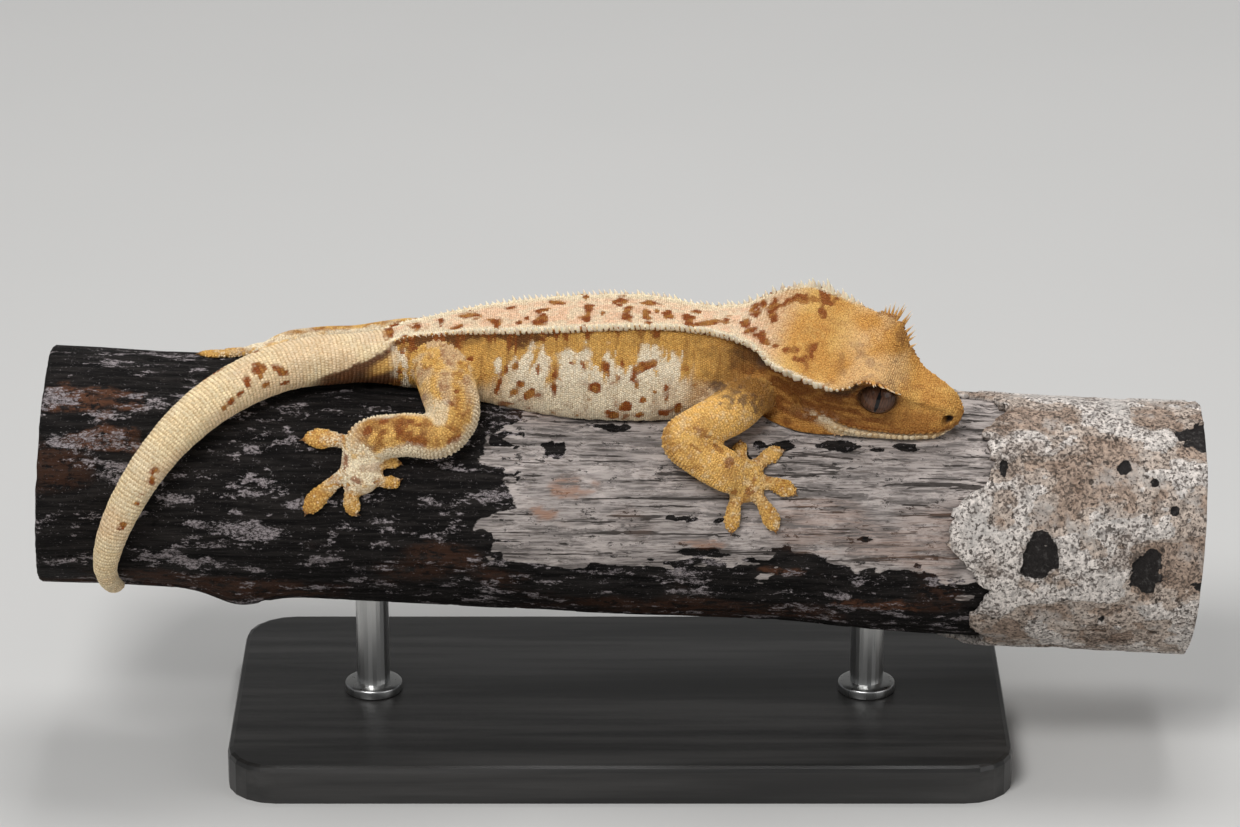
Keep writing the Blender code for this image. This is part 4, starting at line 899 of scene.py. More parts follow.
def photo_ray(x, y):
    """The camera's place and the direction of a photo pixel, in the branch frame."""
    c, s = math.cos(VIEW_HEIGHT), math.sin(VIEW_HEIGHT)
    ahead, above = np.array((0, c, -s)), np.array((0, s, c))
    eye = np.array(VIEW_TARGET) - VIEW_DISTANCE * ahead
    aim = VIEW_DISTANCE * ahead + np.array(((x - PHOTO_WIDTH / 2) * PHOTO_PIXEL, 0, 0))
    aim = aim + (PHOTO_HEIGHT / 2 - y) * PHOTO_PIXEL * above
    back = np.array(to_world().inverted())
    start = back[:3, :3] @ (eye * MM) + back[:3, 3]
    return start, unit(back[:3, :3] @ aim)


class Markings:
    """Paints skin and scales alike: every colour is worked out from a place and its notes."""

    def __init__(self, surface, source):
        self.surface, self.source = surface, source
        self.spots = {"rust": self.placed(BACK_SPOTS + TAIL_MARKS), "flank": self.placed(FLANK_SPOTS),
                      "white": self.placed(WHITE_PATCHES), "grey": self.placed(GREY_PATCHES),
                      "leg": self.placed(LEG_MARKS, False), "arm": self.placed(ARM_MARKS, False)}

    def placed(self, table, mirror=True):
        """Centre, two directions in the skin and two half sizes of each mark, also on the far side."""
        rows = []
        right = np.array((1.0, 0.0, 0.0))
        for x, y, half_long, half_wide, *turn in table:
            start, aim = photo_ray(x, y)
            hit, normal, _, _ = self.surface.ray_cast(Vector(start), Vector(aim))
            if hit is None:
                continue
            hit, normal = np.array(hit), np.array(normal)
            flat = unit(right - normal * (right @ normal))
            up = np.cross(normal, flat)
            angle = math.radians(sum(turn))
            c, s = math.cos(angle), math.sin(angle)
            first, second = c * flat + s * up, c * up - s * flat
            half_long, half_wide = (half * MARK_GROWTH / max(0.35, math.sqrt(1 - float(way @ aim) ** 2))
                                    for half, way in ((half_long, first), (half_wide, second)))
            rows.append((hit, first, second, half_long, half_wide))
            if not mirror:
                continue
            notes = self.source.read(hit[None])[0]
            shift = 1.5 * math.sin(7.3 * x + 1.9 * y)
            if notes[0] != TRUNK or abs(notes[2]) < 1.0:
                continue
            at = float(np.clip(notes[1] + shift, 1, TRUNK_LENGTH - 1))
            centre, ahead, left, _, _ = (row[0] for row in trunk_frame([at]))
            other = hit - ahead * shift
            other = other - 2 * left * ((other - centre) @ left)
            flip = [v - 2 * left * (v @ left) for v in (first, second)]
            if abs(notes[2]) > 3.0 and notes[4] > -1.0:
                rows.append((other, flip[0], flip[1], half_long * 1.1, half_wide))
        return rows

    def mask(self, name, points, rough, ragged=1.5):
        """1 inside the marks of this name, with rims as ragged as asked."""
        out = np.zeros(len(points))
        for centre, first, second, half_long, half_wide in self.spots[name]:
            away = points - centre
            near = np.abs(away).max(1) < 3 * max(half_long, half_wide) + 1
            away = away[near]
            size = ((away @ first) / half_long) ** 2 + ((away @ second) / half_wide) ** 2
            size += (np.linalg.norm(away, axis=1) / (3 * max(half_long, half_wide) + 0.5)) ** 4
            value = smooth(-0.35, 0.5, 1 - size + ragged * (rough[near] - 0.5) * 2)
            out[near] = np.maximum(out[near], value)
        return out

    def paint(self, points, notes):
        """Colour at every point, in linear values."""
        part, behind, _, _, below = notes.T
        noises = self.noises(points)
        broad, middle, fine, ragged, _ = noises
        flank, band, head, tail = (work(points, notes, noises) for work in (
            self.flank, self.band, self.head, self.tail))
        body = mix(flank, band, 1 - smooth(-0.15, 0.1, below + 0.35 * (middle - 0.5)))
        to_head = 1 - smooth(31.5, 38.5, behind + 3.5 * (broad - 0.5))
        to_head = np.where(below > 0, 1 - smooth(36, 43, behind + 3 * (broad - 0.5)), to_head)
        body = mix(body, head, to_head)
        body = mix(body, tail, smooth(TORSO_END - 1.5, TORSO_END + 1.5, behind + 2 * (ragged - 0.5)))
        mottle = self.mask("grey", points, 0.5 * ragged + 0.5 * fine, 3.0)
        mottle = mottle * (0.3 + 0.7 * smooth(0.35, 0.6, fine))
        out = mix(body, between("grey", "brown", 0.3), 0.85 * mottle)
        for numbers, painted in self.limbs(points, notes, noises, mottle).items():
            out = np.where(np.isin(part, numbers)[:, None], painted, out)
        return np.clip(out, 0, 1)

    def noises(self, points):
        """Noise of four kinds, from broad patches to ragged rims, and the spots' varied rust."""
        rusty = between("rust", "ochre", 0.35 * smooth(0.42, 0.68, lattice_noise(points, 0.9, 91)))
        return (rough_noise(points, 5.0, 11), rough_noise(points, 1.7, 23), rough_noise(points, 0.7, 37, 2),
                rough_noise(points, 1.1, 51, 2), rusty)

    def flank(self, points, notes, noises):
        """Streaked sides with white blotches, rust spots and a dark line under the ridge."""
        along = points[:, 0]
        _, _, arc, _, below = notes.T
        broad, middle, fine, ragged, rusty = noises
        drip = rough_noise(np.stack((along, below * 0.22, 9 * np.sign(arc)), axis=1), 2.0, 5, 2)
        streaks = rough_noise(np.stack((along, below * 0.18, 5 * np.sign(arc)), axis=1), 0.9, 19, 2)
        flank = between("ochre", "brown", 0.6 * smooth(0.48, 0.72, streaks))
        flank = wash(flank, "gold", 0.5 * smooth(0.45, 0.3, middle) + 0.25 * smooth(0.5, 0.7, fine))
        flank = wash(flank, "brown", 0.86 * smooth(9, 22, along + 4 * (broad - 0.5)))
        flank = wash(flank, "dark", 0.5 * smooth(0.46, 0.68, middle) * smooth(8, 18, along))
        low = smooth(5.0, 8.5, below)
        zone = smooth(-26, -19, along) * (1 - smooth(8.5, 12, along))
        white = zone * smooth(0.5, 0.6, drip + 0.05 * (below - 6.0) + 0.5 * (streaks - 0.5))
        white = white * smooth(2.6, 4.4, below)
        white = np.maximum(white, self.mask("white", points, 0.5 * ragged + 0.5 * streaks, 2.2))
        flank = wash(flank, "white", 0.95 * white)
        belly = smooth(8.5, 11.5, below + 1.5 * (middle - 0.5))
        flank = mix(flank, between("cream", "brown", 0.55 * smooth(0.45, 0.65, middle)), 0.6 * belly)
        rust = self.mask("flank", points, ragged)
        speck = smooth(0.66, 0.74, middle) * low * (1 - smooth(20, 24, along)) * smooth(-40, -30, along)
        flank = mix(flank, rusty, np.maximum(rust, 0.8 * speck))
        hips = smooth(-46, -36, along) * (1 - smooth(-20, -12, along))
        width = 0.5 + 2.4 * hips * smooth(0.35, 0.6, broad) + 1.3 * smooth(0.5, 0.7, streaks)
        under = smooth(-0.05, 0.25, below) * (1 - smooth(width, width + 0.7, below + 0.8 * (ragged - 0.5)))
        tint = between("dark", "rust", 0.3 + 0.6 * smooth(0.45, 0.65, streaks))
        return mix(flank, tint, 0.92 * under * (1 - 0.6 * smooth(0.5, 0.62, middle) * (below > 0.9)))

    def band(self, points, notes, noises):
        """The pinkish band along the back, pale at its ridges."""
        below = notes[:, 4]
        broad, middle, _, ragged, rusty = noises
        band = between("pink", "cream", 0.7 * smooth(0.35, 0.65, middle))
        band = wash(band, "cream", smooth(-2.6, -0.8, below + 1.6 * (broad - 0.5)))
        return mix(band, rusty, self.mask("rust", points, ragged))

    def head(self, points, notes, noises):
        """Crown and cheeks, with lips, eye rings and nostrils; the nostril pits are painted near black as
        painted shade in the holes, and painted shade darkens the cheek under the crest from behind the eye.
        """
        _, behind, _, _, below = notes.T
        broad, middle, fine, ragged, rusty = noises
        crown = between("crown", "gold", smooth(0.35, 0.7, broad))
        crown = wash(crown, "rust", 0.25 * smooth(0.55, 0.75, middle) + 0.15 * smooth(0.55, 0.8, fine))
        middle_crown = smooth(9, 14, behind) * (1 - smooth(20, 27, behind))
        crown = wash(crown, "pink", 0.34 * smooth(0.35, 0.65, broad) * middle_crown)
        crown = wash(crown, "grey", 0.22 * smooth(0.5, 0.7, middle) * middle_crown)
        crown = wash(crown, "gold", 0.5 * smooth(0.5, 0.7, fine) * smooth(20, 26, behind))
        crown = mix(crown, rusty, 0.92 * self.mask("rust", points, ragged, 2.0))
        local = head_local(points)
        edge = smooth(-1.5, -0.35, below + 0.5 * (middle - 0.5)) * smooth(21, 27, behind)
        crown = wash(crown, "cream", 0.95 * edge)
        brow = smooth(-1.0, -0.2, below) * smooth(10, 12, behind) * (1 - smooth(18, 20, behind))
        crown = mix(crown, between("brown", "rust", 0.6), 0.7 * brow)
        jaw = rough_noise(local * (0.45, 1.0, 1.6), 1.5, 77, 3)
        cheek = between("brown", "rust", 0.3)
        cheek = wash(cheek, "crown", 0.62 * smooth(0.46, 0.66, jaw))
        cheek = wash(cheek, "gold", 0.16 * smooth(0.66, 0.78, fine))
        snout = 1 - smooth(8, 14, behind + 3 * (middle - 0.5))
        cheek = mix(cheek, between("crown", "rust", 0.45 * smooth(0.45, 0.65, middle)), 0.9 * snout)
        rust_line = np.exp(-((below - 0.25) / 0.35) ** 2) * smooth(20, 24, behind)
        cheek = wash(cheek, "rust", 0.7 * rust_line)
        shadow = smooth(0.2, 0.9, below) * (1 - smooth(3.6, 6.2, below + 2.6 * (broad - 0.5)))
        shadow = shadow * smooth(17.0, 19.0, behind + 1.5 * (middle - 0.5))
        cheek = wash(cheek, "dark", 0.88 * shadow * (0.55 + 0.45 * smooth(0.35, 0.6, ragged)))
        cheek = wash(cheek, "grey", 0.6 * smooth(0.5, 0.66, broad) * smooth(26, 32, behind))
        apart = local[:, 2] - mouth_level(-local[:, 0])
        upper = smooth(-0.1, 0.1, apart) * (1 - smooth(0.7, 1.7, apart)) * (1 - smooth(21, 24, behind))
        cheek = mix(cheek, between("brown", "rust", 0.4), 0.7 * upper)
        lip = (1 - smooth(-0.2, -0.02, apart)) * smooth(-2.3, -1.6, apart) * (1 - smooth(21, 25, behind))
        lip_cream = between("cream", "ochre", 0.55 * smooth(0.42, 0.62, middle))
        throat = 1 - smooth(-2.6, -1.7, apart)
        cheek = mix(cheek, between("brown", "crown", 0.8 * smooth(0.42, 0.6, middle)), 0.85 * throat)
        cheek = mix(cheek, lip_cream, lip)
        corner = np.exp(-(((-local[:, 0] - 23.5) / 2.4) ** 2 + ((local[:, 2] + 3.4) / 0.8) ** 2))
        cheek = wash(cheek, "cream", 0.85 * corner * smooth(0.4, 0.55, fine))
        for side in (1, -1):
            far, height, _ = eye_offsets(local, side)
            ring = np.exp(-((far - EYE_OPENING - 0.25) / 0.45) ** 2) * (height > -1)
            cheek = wash(cheek, "dark", 0.85 * ring)
            crown = wash(crown, "dark", 0.75 * ring)
            away = np.abs(local - mirrored(NOSTRIL_AT, side))
            hole = np.hypot(away[:, 0], away[:, 2]) + 3 * smooth(2.2, 2.8, away[:, 1])
            # painted shade: the nostril pits are painted near black
            cheek = mix(cheek, 0.3 * shade("dark"), 1 - smooth(0.7, 1.0, hole))
            crown = mix(crown, 0.3 * shade("dark"), 1 - smooth(0.7, 1.0, hole))
        top = 1 - smooth(-0.1, 0.35, below + 0.25 * (middle - 0.5))
        top = np.where(behind < 17, 1 - smooth(0.2, 3.4, below + 1.2 * (middle - 0.5)), top)
        return mix(cheek, crown, top)

    def tail(self, points, notes, noises):
        """Pale rings, with a dark wedge below where the tail begins."""
        _, behind, _, _, below = notes.T
        broad, middle, _, ragged, rusty = noises
        tail = between("tail", "cream", 0.5 * smooth(0.4, 0.7, broad))
        tail = wash(tail, "pink", 0.35 * smooth(0.55, 0.75, rough_noise(points, 9.0, 71, 2)))
        ring = 0.5 + 0.5 * np.cos(2 * math.pi * behind / TAIL_RING)
        tail = wash(tail, "ochre", 0.16 * (1 - smooth(0.0, 0.4, ring)))
        tail = mix(tail, rusty, self.mask("rust", points, ragged, 1.6))
        under = below - 0.30 * (behind - TORSO_END + 1) + 1.4 * (middle - 0.5)
        wedge = smooth(0.0, 0.6, under) * (below > 0.1) * (1 - smooth(116, 121, behind))
        inside = smooth(1.3, 2.2, under) * (1 - smooth(106, 110, behind)) * (1 - smooth(3.8, 4.8, under))
        tail = mix(tail, between("dark", "rust", 0.6 * ragged), 0.95 * wedge)
        return mix(tail, between("gold", "crown", smooth(0.45, 0.7, middle)), 0.9 * inside)

    def limbs(self, points, notes, noises, mottle):
        """Colours of arms, legs, hands, feet and toes, by the numbers of their parts."""
        part, behind, arc, _, below = notes.T
        broad, middle, fine, ragged, _ = noises
        wide = np.abs(np.cos(arc))
        streak = rough_noise(np.stack((below * 0.45, arc * 2.2, part), axis=1), 1.0, 13, 2)
        streaked = 0.35 * smooth(0.5, 0.68, streak) * smooth(0.3, 0.55, behind)
        arm = mix(1.12 * shade("gold"), shade("rust"), streaked)
        arm = wash(arm, "cream", 0.35 * smooth(0.5, 0.75, fine))
        arm = mix(arm, between("brown", "ochre", 0.1 + 0.6 * smooth(0.5, 0.68, middle)),
                  0.86 * (1 - smooth(0.05, 0.3, behind + 0.2 * (broad - 0.5))))
        arm = wash(arm, "rust", 0.6 * self.mask("arm", points, ragged, 1.6))
        arm = mix(arm, between("grey", "brown", 0.4), 0.7 * mottle)
        leg = between("gold", "ochre", smooth(0.4, 0.7, middle))
        leg = wash(leg, "cream", 0.5 * (1 - smooth(0.3, 0.42, behind)) * smooth(0.42, 0.62, streak))
        leg = wash(leg, "rust", 0.3 * smooth(0.5, 0.66, streak) * (1 - smooth(0.45, 0.6, behind)))
        leg = wash(leg, "rust", 0.5 * smooth(0.6, 0.7, ragged))
        leg = wash(leg, "rust", 0.75 * smooth(0.52, 0.64, middle) * smooth(0.4, 0.55, behind))
        stain = between("brown", "rust", 0.4)
        leg = mix(leg, stain, 0.62 * smooth(0.40, 0.56, streak) * smooth(0.5, 0.62, behind))
        leg = wash(leg, "rust", 0.85 * self.mask("leg", points, ragged, 1.2))
        pale = smooth(0.62, 0.9, wide + 0.45 * (middle - 0.5)) * smooth(0.18, 0.4, behind)
        leg = wash(leg, "cream", 0.92 * pale)
        leg = wash(leg, "cream", 0.7 * smooth(0.62, 0.75, broad))
        hand = between("gold", "rust", 0.35 * smooth(0.55, 0.68, middle))
        hand = wash(hand, "cream", 0.4 * smooth(0.5, 0.7, fine))
        hand = wash(hand, "rust", 0.7 * self.mask("arm", points, ragged, 1.2))
        foot = mix(1.12 * shade("cream"), shade("gold"), 0.75 * smooth(0.5, 0.64, middle))
        foot = wash(foot, "rust", 0.35 * smooth(0.58, 0.68, rough_noise(points, 1.9, 43, 2)))
        foot = wash(foot, "rust", 0.8 * self.mask("leg", points, ragged, 1.2))
        ankle = smooth(0.82, 0.96, behind + 0.2 * (middle - 0.5))
        arm, leg = mix(arm, hand, ankle), mix(leg, foot, ankle)
        toe = between("gold", "ochre", smooth(0.4, 0.65, middle))
        toe = wash(toe, "rust", 0.8 * smooth(0.9, 0.99, behind))
        root = between("cream", "gold", 0.8 * (part == HAND_TOE))
        toe = mix(toe, root, 1 - smooth(0.2, 0.62, behind + 0.5 * (middle - 0.5)))
        toe = wash(toe, "cream", 0.55 * smooth(0.55, 0.75, fine))
        toe = wash(toe, "rust", 0.6 * np.exp(-((behind - 0.3) / 0.06) ** 2) * smooth(0.4, 0.6, ragged))
        return {(ARM,): arm, (LEG,): leg, (HAND,): hand, (FOOT,): foot, (HAND_TOE, FOOT_TOE): toe}


def set_colours(obj, name, values):
    """Stores a colour for each vertex."""
    layer = obj.data.color_attributes.new(name, "FLOAT_COLOR", "POINT")
    rgba = np.ones((len(values), 4), np.float32)
    rgba[:, :3] = values
    layer.data.foreach_set("color", rgba.ravel())


def refined(obj, chosen):
    """Cuts the chosen faces of a mesh in four."""
    mesh = bmesh.new()
    mesh.from_mesh(obj.data)
    mesh.faces.ensure_lookup_table()
    edges = {edge for index in np.flatnonzero(chosen) for edge in mesh.faces[int(index)].edges}
    bmesh.ops.subdivide_edges(mesh, edges=list(edges), cuts=1, use_grid_fill=True)
    bmesh.ops.triangulate(mesh, faces=[face for face in mesh.faces if len(face.verts) > 4])
    mesh.to_mesh(obj.data)
    mesh.free()


def loops_of(data):
    """Faces as quads: a triangle repeats its last corner."""
    data.calc_loop_triangles()
    triangles = np.empty(len(data.loop_triangles) * 3, np.int32)
    data.loop_triangles.foreach_get("vertices", triangles)
    triangles = triangles.reshape(-1, 3)
    return np.column_stack((triangles, triangles[:, 2]))


class Build:
    """What later operators need of the skin: its surface, notes and markings."""
    surface = source = markings = None


def make_skin():
    """The whole animal as one closed skin, painted and kept off the branch."""
    solids = flesh_solids()
    source = SourceNotes(solids)
    obj = lofted("skin", solids)
    fill_modifier(obj, millimetres("skin_cell"))
    pairs = edge_pairs(obj.data)
    points = relaxed(read_mesh(obj), pairs, 6)
    part = source.nearest_part(points)
    joint = ((part[pairs[:, 0]] == TRUNK) != (part[pairs[:, 1]] == TRUNK)).astype(float)
    near = np.bincount(pairs[:, 0], joint, len(points)) + np.bincount(pairs[:, 1], joint, len(points))
    for _ in range(5):
        spread = np.maximum(near[pairs[:, 0]], near[pairs[:, 1]])
        near = np.maximum(near, np.bincount(pairs[:, 0], spread, len(points)) > 0)
        near = np.maximum(near, np.bincount(pairs[:, 1], spread, len(points)) > 0)
    points = relaxed(points, pairs, 5, 0.5, 0.5, np.minimum(near, 1)[:, None])
    write_mesh(obj, points)
    centres = np.array([polygon.center for polygon in obj.data.polygons])
    local = head_local(centres)
    fine = (local[:, 0] > -31.5) & (np.abs(local[:, 1]) < 12) & (np.abs(local[:, 2]) < 15)
    refined(obj, fine)
    points = read_mesh(obj)
    pairs = edge_pairs(obj.data)
    points = relaxed(points, pairs, 2)
    faces = loops_of(obj.data)
    notes = source.read(points)
    normals = vertex_normals(points, faces)
    points = fold_skin(points, normals, notes)
    points = carve_head(points, normals, notes)
    points = kept_off_perch(points, SKIN_ROOM)
    Build.surface = BVHTree.FromPolygons([Vector(p) for p in points], faces[:, :3].tolist())
    Build.source = source
    Build.markings = Markings(Build.surface, source)
    set_colours(obj, "markings", Build.markings.paint(points, notes))
    write_mesh(obj, moved(points, to_world()))
    obj.data.update()
    obj.data.polygons.foreach_set("use_smooth", np.ones(len(obj.data.polygons), bool))
    obj.data.materials.append(skin_material())
    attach(obj, "root")
    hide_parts(*FLESH_NODES)


def studs(places, normals, aheads, longs, wides, heights, profile, sides, bends=None):
    """Many small closed forms as one set of arrays: rings by (height, width) shares, a tip and a root.

    Returns points shaped (stud, point, 3) and the triangles of the first stud, for repeating.
    """
    aheads = square_to(aheads, normals)
    across = np.cross(normals, aheads)
    turn = np.linspace(0, 2 * math.pi, sides, endpoint=False)
    rows = []
    for level, share in profile:
        centre = places + normals * (heights * level)[:, None]
        if bends is not None:
            centre = centre + bends * (heights * level * abs(level))[:, None]
        for angle in turn:
            rows.append(centre + aheads * (longs * share * math.cos(angle))[:, None]
                        + across * (wides * share * math.sin(angle))[:, None])
    tip = places + normals * heights[:, None]
    if bends is not None:
        tip = tip + bends * heights[:, None]
    root = places + normals * (heights * (profile[0][0] - 0.25))[:, None]
    rows += [tip, root]
    count = len(profile)
    quads = ring_faces(count, sides)
    after = count * sides
    triangles = [quads[:, [0, 1, 2]], quads[:, [0, 2, 3]], fan(sides, after - sides, after),
                 fan(sides, 0, after + 1, flip=True)]
    return np.stack(rows, axis=1), np.vstack(triangles).astype(int)


def repeated(triangles, count, per):
    """The first stud's triangles, for all of count studs with per points each."""
    return (triangles[None] + (np.arange(count) * per)[:, None, None]).reshape(-1, 3)


def coat_piece(name, points, triangles, colours, roots, look):
    """Joins studs into one mesh with their colours and a patch each on the skin's unwrap."""
    count, per = points.shape[:2]
    obj = new_mesh(name, points.reshape(-1, 3), repeated(triangles, count, per))
    set_colours(obj, "markings", np.repeat(colours, per, axis=0))
    turn = np.linspace(0, 2 * math.pi, per, endpoint=False)
    spread = np.stack((np.cos(turn), np.sin(turn)), axis=1) * BAKE_PATCH / 2
    spots = (roots[:, None] + spread[None]).reshape(-1, 2)
    layer = obj.data.uv_layers.new(name="OFBake")
    corner = np.empty(len(obj.data.loops), np.int32)
    obj.data.loops.foreach_get("vertex_index", corner)
    layer.data.foreach_set("uv", spots[corner].astype(np.float32).ravel())
    obj.data.materials.append(look)
    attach(obj, "root")
    return obj


def unwrap_place(notes):
    """Where a root lies on an unwrap of the skin: the trunk's length by its girth, each limb on its own."""
    part, behind, arc, key, _ = notes.T
    trunk = np.stack((0.01 + 0.98 * behind / TRUNK_LENGTH, 0.35 + 0.30 * arc / 32.0 + 0.2), axis=1)
    row = np.where(key > 0.5, 0.06, 0.16)
    limb = np.stack((0.04 + 0.13 * part + 0.10 * np.clip(behind, 0, 1), row + 0.04 * np.sin(arc)), axis=1)
    return np.clip(np.where((part == TRUNK)[:, None], trunk, limb), 0.004, 0.996)


def even_run(ring, step, phase):
    """Points at even steps round a closed ring, as shares of its corner numbers."""
    closed = np.vstack((ring, ring[:1]))
    run = run_along(closed)
    count = max(5, int(round(run[-1] / step)))
    at = (np.arange(count) + phase) / count * run[-1]
    return np.stack([np.interp(at, run, closed[:, axis]) for axis in range(3)], axis=1)


def scale_places(step):
    """Places round the trunk, the limbs, the palms' tops and the toes, each with the direction along it."""
    places, aheads = [], []

    def add(rings, forward, spacing):
        for i, ring in enumerate(rings):
            run = even_run(ring, spacing, 0.5 * (i % 2))
            places.append(run)
            aheads.append(np.tile(forward[i], (len(run), 1)))

    head_at = np.arange(0.5, HEAD_SKIN_END, step * 0.86)
    body_at = np.arange(HEAD_SKIN_END, TORSO_END, step * 0.9)
    tail_at = np.arange(TORSO_END, TRUNK_LENGTH - 0.4, TAIL_RING)
    for at, spacing in ((head_at, step * 0.95), (body_at, step), (tail_at, step * 1.15)):
        add(trunk_rings(at, TRUNK_CORNERS)[0], trunk_frame(at)[1], spacing)
    for kind, side in LIMBS:
        rings, _ = limb_rings(kind, side, 40, step * 0.95)
        middles = np.array([ring.mean(0) for ring in rings])
        add(rings, unit(np.gradient(middles, axis=0)), step)
    for foot in FEET:
        (palm, _), _, *toes = foot_rings(*foot)
        top, rim = palm[0].mean(0), palm[PALM_RIM] - palm[PALM_RIM].mean(0)
        grown = [top + rim * share for share in np.arange(0.1, 1.0, 0.11)]
        add(grown, np.tile((1.0, 0.0, 0.0), (len(grown), 1)), step * 0.9)
        for rings, _ in toes:
            middles = np.array([ring.mean(0) for ring in rings])
            add(rings, unit(np.gradient(middles, axis=0) + 1e-6), step * 0.8)
    return np.vstack(places), np.vstack(aheads)


def on_skin(places, most):
    """The nearest points of the skin, their normals, and which of them are near enough."""
    hits, normals, near = np.zeros_like(places), np.zeros_like(places), np.zeros(len(places), bool)
    for i, place in enumerate(places):
        hit, normal, _, _ = Build.surface.find_nearest(Vector(place), most)
        if hit is not None:
            hits[i], normals[i], near[i] = hit, normal, True
    return hits, normals, near


def make_scales():
    """Granular scales over the whole animal, larger and paler along the ridges and the edges of the legs."""
    step = millimetres("scale_step")
    places, aheads = scale_places(step)
    hits, normals, near = on_skin(places, 0.75)
    draw = np.random.default_rng(SCALE_SEED)
    radius = np.hypot(hits[:, 1], hits[:, 2])
    outward = unit(hits * (0, 1, 1))
    free = near & ((radius - perch_reach(hits) > 0.12) | ((outward * normals).sum(1) > 0.35))
    hits, normals, aheads = hits[free], normals[free], aheads[free]
    notes = Build.source.read(hits)
    local = head_local(hits)
    part, behind, _, _, _ = notes.T
    keep = np.ones(len(hits), bool)
    for side in (1, -1):
        far, height, _ = eye_offsets(local, side)
        keep &= ~((far < EYE_OPENING + 0.12) & (height > 0) & (behind < HEAD_SKIN_END) & (part == TRUNK))
        keep &= np.linalg.norm(local - mirrored(NOSTRIL_AT, side), axis=1) > 1.0
    above = local[:, 2] - mouth_level(-local[:, 0])
    plated = behind < MOUTH_END - 2.2
    lowest, highest = np.where(plated, -1.05, -0.2), np.where(plated, 0.72, 0.2)
    keep &= ~((above > lowest) & (above < highest) & (behind < MOUTH_END) & (part == TRUNK))
    hits, normals, aheads, notes, above = (rows[keep] for rows in (hits, normals, aheads, notes, above))
    part, behind, arc, _, below = notes.T
    count = len(hits)
    vary = draw.uniform(0.85, 1.15, count)
    size = np.full(count, SCALE_SHARE * step)
    height = np.full(count, SCALE_HEIGHT)
    trunk = part == TRUNK
    head, tail = trunk & (behind < HEAD_SKIN_END), trunk & (behind > TORSO_END)
    size[head] *= 0.95
    height[head] = HEAD_SCALE_HEIGHT
    ridge = trunk & (behind > 24) & ~tail
    pitch = np.exp(-(below / 0.55) ** 2) * ridge
    size = size * (1 + 0.5 * pitch)
    height = height + 0.3 * pitch * draw.uniform(0.5, 1.1, count)
    wide = np.abs(np.cos(arc))
    border = ((part == LEG) * smooth(0.7, 0.95, wide) * smooth(0.25, 0.5, behind)
              + 0.5 * (part == ARM) * smooth(0.75, 0.95, wide) * smooth(0.4, 0.6, behind))
    size = size * (1 + 0.18 * border * draw.uniform(0.0, 1.6, count))
    height = height + 0.14 * border * draw.uniform(0.4, 1.4, count)
    lips = trunk & (np.abs(above) < 1.2) & (behind < 25)
    size[lips] *= 1.15
    longs, wides = size * vary, size * vary * draw.uniform(0.9, 1.1, count)
    longs[tail], wides[tail], height[tail] = TAIL_SCALE_LENGTH, TAIL_SCALE_SHARE * step, TAIL_SCALE_HEIGHT
    scatter = np.where(tail, 0.0, np.where(trunk & ~head, 0.07, 0.13))
    hits = hits + aheads * (draw.uniform(-1, 1, count) * scatter)[:, None]
    hits = hits + np.cross(normals, aheads) * (draw.uniform(-1, 1, count) * scatter)[:, None]
    colours = Build.markings.paint(hits, notes)
    light = 1 + draw.uniform(-1, 1, count) * np.where(head, 0.09, 0.17) + 0.1 * pitch
    colours = np.clip(colours * light[:, None], 0, 1)
    roots = unwrap_place(notes)
    torso = trunk & ~head & ~tail
    groups = {
        "scales_head": head,
        "scales_back": torso & (below <= 0.6),
        "scales_flank_right": torso & (below > 0.6) & (arc > 0),
        "scales_flank_left": torso & (below > 0.6) & (arc <= 0),
        "scales_tail": tail,
        "scales_arms": np.isin(part, (ARM, HAND, HAND_TOE)),
        "scales_legs": np.isin(part, (LEG, FOOT, FOOT_TOE)),
    }
    for name, chosen in groups.items():
        numbers = np.flatnonzero(chosen)
        for start in range(0, len(numbers), PIECE_SCALES):
            rows = numbers[start:start + PIECE_SCALES]
            points, triangles = studs(hits[rows], normals[rows], aheads[rows], longs[rows], wides[rows],
                                      height[rows], DOME, DOME_SIDES)
            label = name if start == 0 else f"{name}_{start // PIECE_SCALES + 1}"
            obj = coat_piece(label, points, triangles, colours[rows], roots[rows], scale_material())
            "cream_skin" if name == "scales_tail" else "tan_skin"


def make_lips():
    """Two rows of plate scales along the mouth, pale below and brown above."""
    draw = np.random.default_rng(LIP_SEED)
    rows = []
    head = head_axes()
    for side in (1, -1):
        for lip, long, away, deep in ((-1, 0.52, -0.6, 0.54), (1, 0.46, 0.4, 0.36)):
            for behind in np.arange(0.6, MOUTH_END - 1.6, 2.0 * long):
                level = mouth_level([behind])[0] + away
                ahead = 3.0 * max(0.0, 1 - behind / 5.0)
                start = head_place(-behind + 2.0 * ahead, side * 14.0, level)
                aim = unit(head_place(-behind - 0.5, 0.0, level) - start)
                hit, normal, _, _ = Build.surface.ray_cast(Vector(start), Vector(aim))
                if hit is None:
                    continue
                taper = 1 - 0.35 * smooth(MOUTH_END - 8, MOUTH_END, behind)
                rows.append((np.array(hit), np.array(normal), head[:, 0], long * taper, deep * taper,
                             0.17 * draw.uniform(0.85, 1.15), lip))
    places, normals, aheads, longs, wides, heights, lips = columns(rows)
    notes = Build.source.read(places)
    painted = Build.markings.paint(places, notes)
    count = len(places)
    upper = wash(between("brown", "rust", 0.4), "gold", draw.uniform(0.1, 0.5, count))
    lower = between("cream", "ochre", draw.uniform(0.15, 0.55, count))
    colours = mix(np.where((lips > 0)[:, None], upper, lower), painted, 0.3)
    points, triangles = studs(places, normals, aheads, longs, wides, heights, PLATE, PLATE_SIDES)
    obj = coat_piece("lip_plates", points, triangles, colours, unwrap_place(notes), scale_material())


def crest_point(behind, side):
    """A point of the crest, with the directions out, up and ahead."""
    centre, ahead, left, up, keys = (row[0] for row in trunk_frame([behind]))
    return centre + side * keys[1] * left + keys[2] * up, side * left, up, ahead


